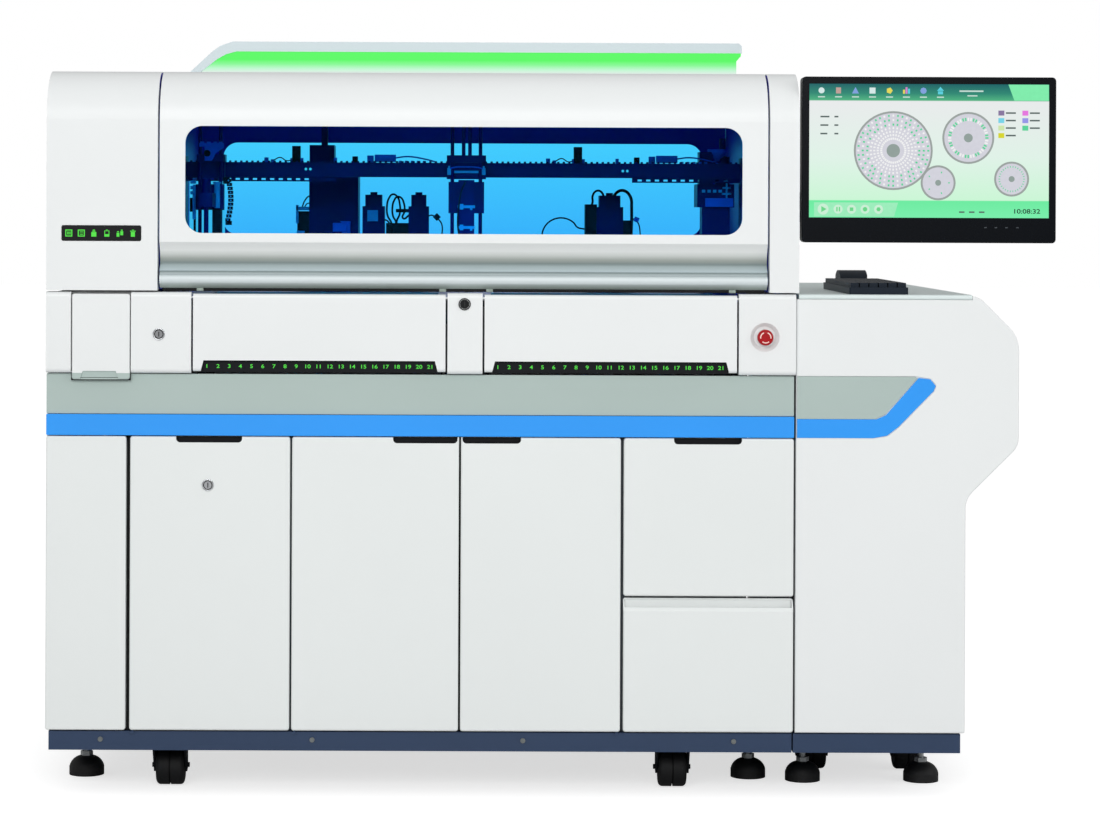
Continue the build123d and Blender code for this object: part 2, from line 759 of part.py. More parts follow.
with BuildPart() as door_centre:
    door(door_centre, door_centre_span, centre_grip, hinge_places[1])
finish(door_centre, "door_centre")

with BuildPart() as door_right:
    door(door_right, door_right_span, right_grip, hinge_places[2])
finish(door_right, "door_right")


def lock_plug(label, place, d_face, angle):
    """Turning plug of a lock with its key slot in front and its catch behind."""
    x, z = place
    with BuildPart() as plug:
        rod_y(x, d_face, d_face + 18, z, lock_plug_radius)
        block(x - 1, x + 1, d_face - 1, d_face + 4, z - 5, z + 5, mode=Mode.SUBTRACT)
        with Locations(Location((x + left, y_at(d_face + 16.5), z), (0, angle, 0))):
            Box(24, 3, 12, align=(Align.MIN, Align.CENTER, Align.CENTER))
    finish(plug, label)


lock_plug("door_lock", door_lock_place, -2.5, 0)
lock_plug("fascia_lock", fascia_lock_place, fascia_front - 2.5, 0)
lock_plug("lid_lock", lid_lock_place, fascia_front - 2.5, 90)

# Drawers in the right column: a front tray and an open box that runs on the frame rails
box_left = rail_inner_left + 2
box_right = rail_inner_right - 2
box_back = 600
cuvette_box = (440, 670)
waste_box = (180, 350)
waste_slope = 25


def drawer(builder, z0, z1, box_levels, grip):
    """Drawer front with the box behind it."""
    x0, x1 = drawer_span
    slab(x0, x1, 0, door_depth, z0, z1, 5)
    round_front(builder, door_round)
    block(x0 + sheet, x1 - sheet, skin, door_depth + 1, z0 + sheet, z1 - sheet, mode=Mode.SUBTRACT)
    if grip:
        grip_recess(grip[0], grip[1], grip[0] - sheet, grip[1] + sheet, z1)
    block(box_left, box_right, sheet, box_back, *box_levels)
    block(box_left + sheet, box_right - sheet, 2 * sheet, box_back - sheet, box_levels[0] + sheet,
          box_levels[1] + 1, mode=Mode.SUBTRACT)


with BuildPart() as cuvette_drawer:
    drawer(cuvette_drawer, cuvette_bottom, door_top, cuvette_box, cuvette_grip)
finish(cuvette_drawer, "cuvette_drawer")

with BuildPart() as waste_drawer:
    drawer(waste_drawer, door_bottom, waste_top, waste_box, None)
    with BuildSketch(Plane.YZ.offset(drawer_span[0] + left - 1)):
        with BuildLine():
            Polyline(
                (y_at(-1), waste_top - waste_slope), (y_at(0), waste_top - waste_slope),
                (y_at(14), waste_top),
                (y_at(14), waste_top + 1), (y_at(-1), waste_top + 1), close=True,
            )
        make_face()
    extrude(amount=drawer_span[1] - drawer_span[0] + 2, mode=Mode.SUBTRACT)
    block(drawer_span[0] + 4, drawer_span[1] - 4, 14, 17, waste_top - 30, waste_top - 3)
finish(waste_drawer, "waste_drawer")

# Emergency stop button: the stem pushes in, the mushroom head twists to let it out again
head_back = -13
with BuildPart() as estop_stem:
    rod_y(button_x, head_back, 16, button_z, stem_radius)
finish(estop_stem, "estop_stem")

with BuildPart() as estop_head:
    rod_y(button_x, -button_reach, head_back, button_z, head_radius)
    round_front(estop_head, 6)
finish(estop_head, "estop_head")

# Side module: one shell with the stepped side, the shoulder up to the desk and the inlay pockets
side_outline = (
    (side_left, door_bottom), (1840, door_bottom, 4), (1840, 598, 50), (side_right, 704, 40),
    (side_right, 922, 65), (1864, desk_top_z - 2, 40), (side_left, desk_top_z - 2),
)
side_inside = (
    (side_left + 3, door_bottom - 1), (1836, door_bottom - 1), (1836, 600, 50), (side_right - 4, 706, 36),
    (side_right - 4, 920, 61), (1862, desk_bottom - 4, 20), (side_left + 3, desk_bottom - 4),
)
inlay_pocket = (
    (1501, stripe_bottom - 0.5), (1655, stripe_bottom - 0.5), (1683, 723, 20), (1706, 741, 20),
    (1776, 813), (1780.5, 824), (1769, 838.5), (1738, 843), (1501, 843),
)
with BuildPart() as side_module_shell:
    front_shape(side_outline, 0, depth)
    round_front(side_module_shell, 3)
    front_shape(side_inside, 6, depth + 1, mode=Mode.SUBTRACT)
    block(side_left - 1, desk_right, -1, depth + 1, desk_bottom, desk_top_z + 1, mode=Mode.SUBTRACT)
    front_shape(inlay_pocket, -1, 2.9, mode=Mode.SUBTRACT)
finish(side_module_shell, "side_module_shell")

with BuildPart() as desk_top:
    block(right_cover_right + 1, desk_right - 1, -2, depth, desk_bottom + touching_gap, desk_top_z)
    fillet(desk_top.faces().sort_by(Axis.Y)[0].edges().filter_by(Axis.X), radius=4)
finish(desk_top, "desk_top")

# Monitor: wall bracket, swivelling arm, tilting case and the screen in it
monitor_left = 1510
monitor_bottom = 1110
monitor_top = 1442
monitor_depth = 40
screen_recess = 6
bezel = 14
chin = 50
arm_x = 1532
arm_d = 120
arm_bottom = 1170
arm_post_radius = 16
arm_pin_radius = 8
head_x = 1764
tilt_d = 80
tilt_z = 1286
tilt_pin_radius = 5
ear_radius = 10
plate_half = 60
with BuildPart() as monitor_bracket:
    block(right_cover_right, right_cover_right + skin, 70, 170, 1142, 1244)
    block(right_cover_right + skin - 1, arm_x, arm_d - 14, arm_d + 14, arm_bottom - 20, arm_bottom)
    rod_z(arm_x, arm_d, arm_bottom - 20, arm_bottom, arm_post_radius)
    rod_z(arm_x, arm_d, arm_bottom - 20, arm_bottom + 44, arm_pin_radius)
finish(monitor_bracket, "monitor_bracket")

with BuildPart() as monitor_arm:
    rod_z(arm_x, arm_d, arm_bottom + 1, arm_bottom + 41, arm_post_radius)
    block(arm_x, head_x, arm_d - 10, arm_d + 10, arm_bottom + 6, arm_bottom + 36)
    rod_z(head_x, arm_d, arm_bottom + 1, tilt_z + 14, arm_post_radius)
    block(head_x - 9, head_x + 9, tilt_d - 9, arm_d, tilt_z - 14, tilt_z + 14)
    rod_x(head_x - 20, head_x + 20, tilt_d, tilt_z, tilt_pin_radius)
    rod_z(arm_x, arm_d, arm_bottom, arm_bottom + 45, arm_pin_radius + running_fit, mode=Mode.SUBTRACT)
finish(monitor_arm, "monitor_arm")

with BuildPart() as monitor_case:
    slab(monitor_left, monitor_right, 0, monitor_depth, monitor_bottom, monitor_top, 8)
    round_front(monitor_case, 2)
    block(monitor_left + bezel, monitor_right - bezel, -1, screen_recess, monitor_bottom + chin,
          monitor_top - bezel, mode=Mode.SUBTRACT)
    block(head_x - plate_half, head_x + plate_half, monitor_depth, monitor_depth + 8, tilt_z - plate_half,
          tilt_z + plate_half)
    for x in (head_x - 18, head_x + 12):
        block(x, x + 6, monitor_depth + 7, tilt_d, tilt_z - ear_radius, tilt_z + ear_radius)
        rod_x(x, x + 6, tilt_d, tilt_z, ear_radius)
    rod_x(head_x - 21, head_x + 21, tilt_d, tilt_z, tilt_pin_radius + running_fit, mode=Mode.SUBTRACT)
finish(monitor_case, "monitor_case")

screen_edge = bezel + touching_gap
with BuildPart() as monitor_screen:
    block(monitor_left + screen_edge, monitor_right - screen_edge, 2, screen_recess - touching_gap,
          monitor_bottom + chin + touching_gap, monitor_top - screen_edge)
finish(monitor_screen, "monitor_screen")

# Keyboard lying front to back on the desk, and the mouse behind it
keyboard_left = 1608
keyboard_right = 1726
keyboard_front = 15
keyboard_back = 455
keyboard_body = 14
key_pitch = 19
key_size = 16.5
key_height = 10
keys_x = (keyboard_left + keyboard_right) / 2 + left
keys_y = y_at((keyboard_front + keyboard_back) / 2)
with BuildPart() as keyboard:
    block(keyboard_left, keyboard_right, keyboard_front, keyboard_back, desk_top_z, desk_top_z + keyboard_body)
    fillet(keyboard.edges().filter_by(Axis.Z), radius=5)
    with Locations((keys_x, keys_y, desk_top_z + keyboard_body + skin)):
        with GridLocations(key_pitch, key_pitch, 6, 22):
            Box(key_size, key_size, key_height)
finish(keyboard, "keyboard")

mouse_left = 1649
mouse_width = 59
mouse_front = (y_at(480), desk_top_z + 16)
mouse_crown = (y_at(545), desk_top_z + 38)
mouse_back = (y_at(590), desk_top_z + 14)
with BuildPart() as mouse:
    with BuildSketch(Plane.YZ.offset(left + mouse_left)):
        with BuildLine():
            Polyline(mouse_front, (mouse_front[0], desk_top_z), (mouse_back[0], desk_top_z), mouse_back)
            ThreePointArc(mouse_back, mouse_crown, mouse_front)
        make_face()
    extrude(amount=mouse_width)
    fillet(mouse.edges().filter_by(Axis.Z), radius=16)
finish(mouse, "mouse")

# Gantry: the beam across the hood on its two end plates, with a slotted strip under each end
with BuildPart() as gantry_beam:
    block(beam_left, beam_right, beam_front, beam_back, beam_bottom, beam_top)
    for x in (beam_left, beam_right - 8):
        block(x, x + 8, beam_front - 15, beam_back + 15, deck_top, beam_top + 12)
    for x0, x1 in ((beam_left + 8, 560), (1196, beam_right - 8)):
        block(x0, x1, beam_front + 12, beam_front + 15, beam_bottom - 10, beam_bottom)
        slots = int((x1 - x0 - 20) / slot_pitch)
        for slot in range(slots):
            x = x0 + 12 + slot * slot_pitch
            block(x, x + slot_length, beam_front + 11, beam_front + 16, beam_bottom - 7, beam_bottom - 3,
                  mode=Mode.SUBTRACT)
finish(gantry_beam, "gantry_beam")


def carriage(x, width, head_width):
    """Slider that hooks over the beam and carries two upright guide rods."""
    x0, x1 = x - width / 2, x + width / 2
    plate_top = beam_top + 16
    block(x0, x1, beam_front - 14, beam_front - 0.5, beam_bottom - 4, plate_top)
    block(x0, x1, beam_front - 14, beam_back + 10, beam_top + 0.5, plate_top)
    block(x0, x1, beam_back + 0.5, beam_back + 10, beam_bottom + 4, plate_top)
    foot = beam_bottom - guide_foot
    for side in (-1, 1):
        rod_z(x + side * head_width / 2, beam_front - guide_depth, foot, guide_top, guide_radius)
    x0, x1 = x - head_width / 2 - 6, x + head_width / 2 + 6
    block(x0, x1, beam_front - guide_depth - 6, beam_front - 13, beam_top, plate_top)
    block(x0, x1, beam_front - guide_depth - 6, beam_front - 16, foot, foot + 8)


def head(x, head_width, z0, z1):
    """Block that slides up and down on the guide rods."""
    block(x - head_width / 2 - 8, x + head_width / 2 + 8, beam_front - 34, beam_front - 16, z0, z1)
    for side in (-1, 1):
        rod_z(x + side * head_width / 2, beam_front - guide_depth, z0 - 1, z1 + 1, guide_radius + running_fit,
              mode=Mode.SUBTRACT)


with BuildPart() as pipettor_carriage:
    carriage(pipettor_x, 60, pipettor_rods)
finish(pipettor_carriage, "pipettor_carriage")

with BuildPart() as pipettor_head:
    head(pipettor_x, pipettor_rods, *pipettor_block)
    block(pipettor_x - 14, pipettor_x + 14, probe_d - 12, beam_front - 33, 1176, 1206)
    rod_z(pipettor_x, probe_d, tool_bottom + 15, pipettor_block[1], 5)
    rod_z(pipettor_x, probe_d, tool_bottom, tool_bottom + 16, 1.5)
    rod_z(pipettor_x, probe_d, 1206, 1236, 10)
finish(pipettor_head, "pipettor_head")

with BuildPart() as gripper_carriage:
    carriage(gripper_x, 84, gripper_rods)
finish(gripper_carriage, "gripper_carriage")

with BuildPart() as gripper_head:
    head(gripper_x, gripper_rods, *gripper_block)
    block(gripper_x - 17, gripper_x + 17, beam_front - 54, beam_front - 33, 1110, 1236)
    for x in (gripper_x - 10, gripper_x + 10):
        block(x - 2, x + 2, beam_front - 50, beam_front - 38, tool_bottom, tool_bottom + 26)
finish(gripper_head, "gripper_head")

# Right-hand dispenser on its own post, the reader tower and the stepper drives behind the carousels
with BuildPart() as dispenser_module:
    block(1352, 1412, 520, 580, deck_top, 1180)
    block(1340, 1420, 500, 590, 1180, 1230)
    block(1345, 1375, 510, 560, 1230, 1300)
    rod_z(1398, 545, 1230, 1290, 16)
    rod_z(1398, 545, 1290, 1330, 7)
finish(dispenser_module, "dispenser_module")

with BuildPart() as reader_module:
    block(486, 597, 800, 940, deck_top, 1262)
    block(486, 542, 810, 900, 1262, 1318)
    block(512, 526, 830, 860, 1318, 1400)
    rod_y(541, 788, 800, 1130, 22)
finish(reader_module, "reader_module")

drive_places = ((632, 50), (734, 46), (1166, 60))
drive_d = 790
drive_top = 1180
with BuildPart() as drive_motors:
    for x, width in drive_places:
        x0, x1 = x - width / 2, x + width / 2
        block(x0, x1, drive_d, drive_d + 60, deck_top, drive_top)
        block(x0 + 6, x1 - 6, drive_d + 8, drive_d + 52, drive_top, drive_top + 26)
        rod_z(x, drive_d + 30, drive_top + 26, drive_top + 32, 8)
finish(drive_motors, "drive_motors")


# Carousels: a turned disc with two rings of cups on the spindle of its well


def carousel(place, outer_cups, inner_cups, cup_radius):
    """Disc on a hub with two rings of round cups."""
    x, d = place
    rod_z(x, d, well_floor + 1, carousel_top - 15, 24)
    rod_z(x, d, carousel_top - 25, carousel_top, carousel_radius)
    rod_z(x, d, carousel_top, carousel_top + 10, 26)
    with Locations((x + left, y_at(d), carousel_top - cup_depth / 2 + 1)):
        with PolarLocations(carousel_radius - 20, outer_cups):
            Cylinder(cup_radius, cup_depth, mode=Mode.SUBTRACT)
        with PolarLocations(carousel_radius - 56, inner_cups):
            Cylinder(cup_radius, cup_depth, mode=Mode.SUBTRACT)
    rod_z(x, d, well_floor, carousel_top + 3, spindle_radius + running_fit, mode=Mode.SUBTRACT)


with BuildPart() as reagent_carousel:
    carousel(carousel_places[0], outer_cups=24, inner_cups=15, cup_radius=11)
finish(reagent_carousel, "reagent_carousel")

with BuildPart() as incubator_carousel:
    carousel(carousel_places[1], outer_cups=40, inner_cups=28, cup_radius=5)
finish(incubator_carousel, "incubator_carousel")

# Inside the lower cabinet: wash bottles on the left, the power supply in the middle
cabinet_floor = cabinet_bottom + tube
bottle_places = (240, 372)
bottle_half = 58
bottle_front = 110
bottle_back = 400
bottle_top = 470
cap_radius = 22
cap_height = 35
with BuildPart() as wash_bottles:
    for x in bottle_places:
        block(x - bottle_half, x + bottle_half, bottle_front, bottle_back, cabinet_floor, bottle_top)
        fillet(wash_bottles.solids().sort_by(Axis.X)[-1].edges().filter_by(Axis.Z), radius=18)
        rod_z(x, 200, bottle_top, bottle_top + cap_height, cap_radius)
finish(wash_bottles, "wash_bottles")

supply_wall = 2
supply_span = (560, 900)
supply_front = 120
supply_back = 520
supply_top = 400
vent_count = 7
vent_pitch = 40
vent_width = 14
vent_bottom = 220
vent_top = 340
with BuildPart() as power_supply:
    block(*supply_span, supply_front, supply_back, cabinet_floor, supply_top)
    block(supply_span[0] + supply_wall, supply_span[1] - supply_wall, supply_front + supply_wall,
          supply_back - supply_wall, cabinet_floor + supply_wall, supply_top - supply_wall,
          mode=Mode.SUBTRACT)
    for vent in range(vent_count):
        x = supply_span[0] + vent_pitch * (vent + 1)
        block(x, x + vent_width, supply_front - 1, supply_front + 1, vent_bottom, vent_top,
              mode=Mode.SUBTRACT)
finish(power_supply, "power_supply")
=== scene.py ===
# %% [markdown]
# Dressing an immunoassay analyzer for its portrait
#
# The machine is a floor-standing laboratory analyzer: a white cabinet with doors and drawers, a
# hood whose lid has a blue window, a fascia with two rack covers, and a side module that carries
# a monitor, a keyboard and a mouse. Its solids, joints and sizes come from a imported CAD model.
# Blender adds what CAD leaves out: finishes, printed marks, wiring, light and a camera.
# Everything below is in metres once it is in Blender, but it is written in millimetres, because
# the drawing was.

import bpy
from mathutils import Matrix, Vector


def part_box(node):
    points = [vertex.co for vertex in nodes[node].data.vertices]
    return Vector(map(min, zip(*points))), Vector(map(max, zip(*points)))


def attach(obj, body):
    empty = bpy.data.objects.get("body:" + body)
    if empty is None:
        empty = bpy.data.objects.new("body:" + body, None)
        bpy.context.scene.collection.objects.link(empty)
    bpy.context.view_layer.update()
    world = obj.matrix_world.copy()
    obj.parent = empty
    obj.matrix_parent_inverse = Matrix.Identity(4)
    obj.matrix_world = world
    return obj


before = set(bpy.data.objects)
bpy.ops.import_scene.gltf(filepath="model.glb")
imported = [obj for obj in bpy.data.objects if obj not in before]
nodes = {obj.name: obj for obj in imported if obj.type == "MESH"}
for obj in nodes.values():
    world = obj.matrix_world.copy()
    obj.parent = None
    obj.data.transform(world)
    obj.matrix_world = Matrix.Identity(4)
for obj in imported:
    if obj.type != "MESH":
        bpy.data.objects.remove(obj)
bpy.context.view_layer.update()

# %% Libraries
import math

import bmesh
import bpy
from mathutils import Matrix, Vector

# %% [markdown]
# Where things are
#
# The drawing measures x from the left side of the cabinet, d back from the plane of the doors and
# z up from the floor. One function turns such a place into the frame's own metres, so every
# number below can be compared with the drawing directly.

# %% Places in drawing millimetres
HALF_WIDTH = 1009
DOOR_PLANE = 487


def place(x, d, z):
    """Point of the drawing, in the frame's metres."""
    return Vector(((x - HALF_WIDTH) / 1000, (d - DOOR_PLANE) / 1000, z / 1000))


low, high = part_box("lid_shell")
print("lid from", [round(v, 3) for v in low], "to", [round(v, 3) for v in high])

# %% [markdown]
# The camera
#
# The photograph is an almost flat front view, taken level from about six metres with a long lens.
# The machine stands off-centre in it because the picture was cropped, and a lens shift says that
# exactly: it slides the picture without tilting the camera, so upright edges stay upright. The
# camera rolls a quarter of a degree, as the photographer's did.

# %% Camera at the photograph's place
IMAGE_WIDTH = 1100
VIEW_DISTANCE = 6100
FOCAL_PIXELS = 3050
AXIS_X = 816
AXIS_Z = 1172
AXIS_FROM_CENTRE = (-95, 207)
ROLL_DEGREES = -0.23

camera_data = bpy.data.cameras.new("camera")
camera_data.sensor_width = 36
camera_data.lens = FOCAL_PIXELS / IMAGE_WIDTH * camera_data.sensor_width
camera_data.shift_x = -AXIS_FROM_CENTRE[0] / IMAGE_WIDTH
camera_data.shift_y = -AXIS_FROM_CENTRE[1] / IMAGE_WIDTH
camera = bpy.data.objects.new("camera", camera_data)
camera.location = place(AXIS_X, -VIEW_DISTANCE, AXIS_Z)
camera.rotation_euler = (math.radians(90), math.radians(ROLL_DEGREES), 0)
bpy.context.scene.collection.objects.link(camera)
bpy.context.scene.camera = camera
bpy.context.scene.view_settings.view_transform = "Standard"
print("lens", round(camera_data.lens, 1), "mm, shift", round(camera_data.shift_x, 3),
      round(camera_data.shift_y, 3))

# %% [markdown]
# Colours and shader nodes
#
# Colours are written as the sRGB hex values that one reads off a picture, and one function turns
# them linear, which is what shaders add and multiply in. A second function adds any shader node
# with its settings and its inputs, so that a finish reads as a short list of nodes.

# %% Two functions that every finish uses
def hex_colour(text):
    """Linear colour of an sRGB hex value."""
    channels = [int(text[i:i + 2], 16) / 255 for i in (0, 2, 4)]
    linear = [c / 12.92 if c <= 0.04045 else ((c + 0.055) / 1.055) ** 2.4 for c in channels]
    return (*linear, 1.0)


def add_node(tree, kind, settings=None, inputs=None):
    """Add one node; an input is a value, or a (node, output) pair to link from."""
    node = tree.nodes.new(kind)
    for name, value in (settings or {}).items():
        setattr(node, name, value)
    for name, value in (inputs or {}).items():
        if isinstance(value, tuple) and isinstance(value[0], bpy.types.Node):
            tree.links.new(value[0].outputs[value[1]], node.inputs[name])
        else:
            node.inputs[name].default_value = value
    return node


print("mid grey is", round(hex_colour("808080")[0], 3), "in linear light")

# %% [markdown]
# A finish from its surface
#
# Nearly every surface here is a coat or a moulding with three marks of how it was made: a base
# colour that drifts a little over a hand's width, a fine grain that breaks up reflections, and a
# gloss. One function makes that shader. The grain of a powder coat or a moulded texture is under
# a millimetre, which would be lost at this distance, so each is drawn a few times coarser than it
# is and shallower in proportion.

# %% The basic opaque finish
def surface(name, colour, roughness, drift=0.03, patch_mm=180, grain_mm=3.0, grain_depth_mm=0.02,
            **sockets):
    """Material whose colour drifts slowly and whose surface has a fine grain."""
    finish = bpy.data.materials.new(name)
    finish.use_nodes = True
    tree = finish.node_tree
    shader = tree.nodes["Principled BSDF"]
    shader.inputs["Roughness"].default_value = roughness
    for socket, value in sockets.items():
        shader.inputs[socket.replace("_", " ")].default_value = value
    base = hex_colour(colour)
    shade = tuple(c * (1 - drift) for c in base[:3]) + (1.0,)
    where = add_node(tree, "ShaderNodeTexCoord")
    patches = add_node(tree, "ShaderNodeTexNoise", inputs={
        "Vector": (where, "Object"), "Scale": 1000 / patch_mm, "Detail": 2.0})
    ramp = add_node(tree, "ShaderNodeValToRGB", inputs={"Fac": (patches, "Fac")})
    ramp.color_ramp.elements[0].position = 0.35
    ramp.color_ramp.elements[1].position = 0.65
    ramp.color_ramp.elements[0].color = shade
    ramp.color_ramp.elements[1].color = base
    grain = add_node(tree, "ShaderNodeTexNoise", inputs={
        "Vector": (where, "Object"), "Scale": 1000 / grain_mm, "Detail": 3.0, "Roughness": 0.6})
    bump = add_node(tree, "ShaderNodeBump", inputs={
        "Height": (grain, "Fac"), "Distance": grain_depth_mm / 1000, "Strength": 0.6})
    tree.links.new(ramp.outputs["Color"], shader.inputs["Base Color"])
    tree.links.new(bump.outputs["Normal"], shader.inputs["Normal"])
    return finish


def object_axes(tree):
    """Texture coordinates of a finish, and the node that splits its place into X, Y and Z."""
    where = add_node(tree, "ShaderNodeTexCoord")
    return where, add_node(tree, "ShaderNodeSeparateXYZ", inputs={"Vector": (where, "Object")})


def paint_over(finish, mask, colour):
    """Cover a finish's own colour where the mask, a (node, output) pair, is one."""
    tree = finish.node_tree
    base = tree.nodes["Principled BSDF"].inputs["Base Color"]
    mix = add_node(tree, "ShaderNodeMix", {"data_type": "RGBA"}, {0: mask, 7: hex_colour(colour)})
    tree.links.new(base.links[0].from_socket, mix.inputs[6])
    tree.links.new(mix.outputs[2], base)


def height_ramp(tree, low, high, stops):
    """Node whose colour follows the height: stops are (share of the way from low to high, hex)."""
    axes = object_axes(tree)[1]
    height = add_node(tree, "ShaderNodeMapRange", inputs={
        "Value": (axes, "Z"), "From Min": low, "From Max": high})
    ramp = add_node(tree, "ShaderNodeValToRGB", inputs={"Fac": (height, "Result")})
    elements = ramp.color_ramp.elements
    elements.remove(elements[1])
    elements[0].position, elements[0].color = stops[0][0], hex_colour(stops[0][1])
    for position, colour in stops[1:]:
        elements.new(position).color = hex_colour(colour)
    return ramp


def dress(finish, *names):
    """Give CAD nodes a finish."""
    for name in names:
        for slot in nodes[name].material_slots:
            slot.material = finish


# %% [markdown]
# White shells and panels
#
# The hood, fascia and side module are vacuum-formed or moulded ABS with a satin white paint:
# smooth, soft highlights, almost no grain. The doors, drawers and rear panels are folded sheet
# steel with a powder coat, which is a shade warmer and shows a slight orange peel. The two are
# kept apart because the eye tells plastic from coated steel by exactly that difference.

# %% Painted ABS and powder-coated steel
painted_abs = surface("satin painted ABS", "EFF2F2", 0.36, drift=0.012, patch_mm=420,
                      grain_mm=2.2, grain_depth_mm=0.006, Coat_Weight=0.12, Coat_Roughness=0.25)
coated_steel = surface("powder-coated steel white", "ECF0EF", 0.48, drift=0.012, patch_mm=350,
                       grain_mm=3.0, grain_depth_mm=0.02)
dress(painted_abs, "fascia_left", "fascia_centre", "fascia_right", "rack_cover_left",
      "rack_cover_right", "side_module_shell")
dress(coated_steel, "left_side_panel", "rear_panels", "door_left", "door_centre", "door_right",
      "cuvette_drawer", "waste_drawer")
desk_laminate = surface("satin laminate", "E2EEED", 0.42, drift=0.015, grain_mm=2.5, grain_depth_mm=0.01)
dress(desk_laminate, "desk_top")
bar_abs = surface("satin painted ABS cool", "D2DEE3", 0.36, drift=0.012, patch_mm=420, grain_mm=2.2,
                  grain_depth_mm=0.006)
dress(bar_abs, "light_bar_housing")
print("white finishes on", sum(painted_abs in list(n.data.materials) for n in nodes.values()), "shells")

# %% [markdown]
# Coloured bands and the plinth
#
# Under the fascia run a grey-green and a blue band, sprayed in satin paint. The plinth is folded
# steel in a dark slate powder coat, which is why it looks rougher than the bands.

# %% Bands, stripe and plinth
band_paint = surface("satin paint grey-green", "B2C3BE", 0.42, drift=0.03, patch_mm=260,
                     grain_mm=2.5, grain_depth_mm=0.008)
stripe_paint = surface("satin paint sky blue", "209EFF", 0.38, drift=0.03, patch_mm=260,
                       grain_mm=2.5, grain_depth_mm=0.008)
slate_coat = surface("powder-coated steel slate", "243B5C", 0.5, drift=0.06, patch_mm=140,
                     grain_mm=3.0, grain_depth_mm=0.03)
frame_coat = surface("powder-coated steel grey", "5A6068", 0.5, drift=0.06, patch_mm=160,
                     grain_mm=3.0, grain_depth_mm=0.03)
dress(band_paint, "grey_bands")
dress(stripe_paint, "blue_stripes")
print("bands painted")
dress(slate_coat, "plinth")
dress(frame_coat, "main_frame")

# %% [markdown]
# Metals
#
# Real metals differ by how they were finished. Zinc plate is slightly blotchy, chrome is a mirror,
# anodised aluminium is evenly matt, and the working deck is stainless steel brushed from side to
# side. Brushing is drawn with a noise stretched a hundred times along x: real scratches are 0.05
# mm apart, and these are 1.2 mm, so that they can still be seen.

# %% Zinc, chrome, anodised and brushed metal
zinc_plate = surface("zinc-plated steel", "8D9292", 0.34, drift=0.12, patch_mm=6, grain_mm=1.5,
                     Metallic=1.0)
chrome = surface("chrome-plated brass", "DADDE0", 0.09, drift=0.03, patch_mm=10, grain_depth_mm=0.001,
                 Metallic=1.0)
anodised = surface("anodised aluminium", "B9BEC4", 0.4, drift=0.04, patch_mm=60, grain_mm=1.5,
                   grain_depth_mm=0.006, Metallic=1.0)
galvanised = surface("galvanised sheet steel", "A9AFB2", 0.42, drift=0.22, patch_mm=14, grain_mm=8,
                     Metallic=1.0)

BRUSH_STRETCH = (0.01, 1.0, 1.0)
BRUSH_MM = 1.2
brushed_steel = surface("brushed stainless steel", "B4B8BB", 0.3, drift=0.05, patch_mm=120, Metallic=1.0)
deck_tree = brushed_steel.node_tree
deck_where = add_node(deck_tree, "ShaderNodeTexCoord")
deck_stretch = add_node(deck_tree, "ShaderNodeMapping", inputs={
    "Vector": (deck_where, "Object"), "Scale": BRUSH_STRETCH})
deck_lines = add_node(deck_tree, "ShaderNodeTexNoise", inputs={
    "Vector": (deck_stretch, "Vector"), "Scale": 1000 / BRUSH_MM, "Detail": 2.0})
deck_bump = add_node(deck_tree, "ShaderNodeBump", inputs={
    "Height": (deck_lines, "Fac"), "Distance": 0.00003, "Strength": 0.7})
deck_tree.links.new(deck_bump.outputs["Normal"], deck_tree.nodes["Principled BSDF"].inputs["Normal"])
dress(zinc_plate, "plinth_screws")
dress(chrome, "door_lock", "fascia_lock")
dress(anodised, "estop_stem", "monitor_arm", "monitor_bracket")
dress(galvanised, "power_supply")
dress(brushed_steel, "deck_plate")
print("deck scratches", BRUSH_MM, "mm apart")

# %% [markdown]
# Black plastics and rubber
#
# The monitor, keyboard, mouse and lane strips are black ABS, textured in the mould: the grain
# spreads the highlight, so the black turns slightly grey where light falls on it. The casters'
# tyres and the feet are rubber, which is duller. The moving machinery under the lid is anodised
# plate, blue-black; seen through the blue window it is almost a silhouette.

# %% Dark finishes
black_abs = surface("moulded ABS black", "070B12", 0.42, drift=0.15, patch_mm=60, grain_mm=1.6,
                    grain_depth_mm=0.02, Specular_IOR_Level=0.2)
key_abs = surface("moulded ABS blue-grey", "17222F", 0.45, drift=0.15, patch_mm=60, grain_mm=1.6,
                  grain_depth_mm=0.02, Specular_IOR_Level=0.2)
gloss_black = surface("polished ABS black", "0D0F12", 0.16, drift=0.1, patch_mm=50, grain_depth_mm=0.002)
case_abs = surface("moulded ABS piano black", "04080F", 0.3, drift=0.12, patch_mm=50, grain_mm=1.6,
                   grain_depth_mm=0.01, Specular_IOR_Level=0.12)
rubber = surface("moulded rubber black", "0E0F11", 0.62, drift=0.2, patch_mm=30, grain_mm=2.0,
                 grain_depth_mm=0.04, Specular_IOR_Level=0.3)
black_anodised = surface("blue-black anodised aluminium", "070A66", 0.4, drift=0.15, patch_mm=50,
                         grain_mm=1.5, grain_depth_mm=0.01, Specular_IOR_Level=0.15)
dress(case_abs, "monitor_case")
dress(black_abs, "rack_bays", "incubator_carousel")
dress(key_abs, "keyboard", "mouse")
dress(gloss_black, "status_display", "lid_lock")
dress(rubber, "caster_wheel_1", "caster_wheel_2", "rear_casters")
dress(black_abs, "caster_fork_1", "caster_fork_2")
dress(black_anodised, "gantry_beam", "pipettor_carriage", "pipettor_head", "gripper_carriage",
      "gripper_head", "reader_module", "drive_motors", "dispenser_module")
white_acetal = surface("machined acetal white", "DDE1E2", 0.4, drift=0.04, patch_mm=60, grain_mm=1.5)
natural_hdpe = surface("blow-moulded polyethylene natural", "DDE2DC", 0.45, drift=0.08, patch_mm=90,
                       Subsurface_Weight=0.2, Subsurface_Scale=0.004)
dress(white_acetal, "reagent_carousel")
dress(natural_hdpe, "wash_bottles")
print(len(bpy.data.materials), "materials so far")

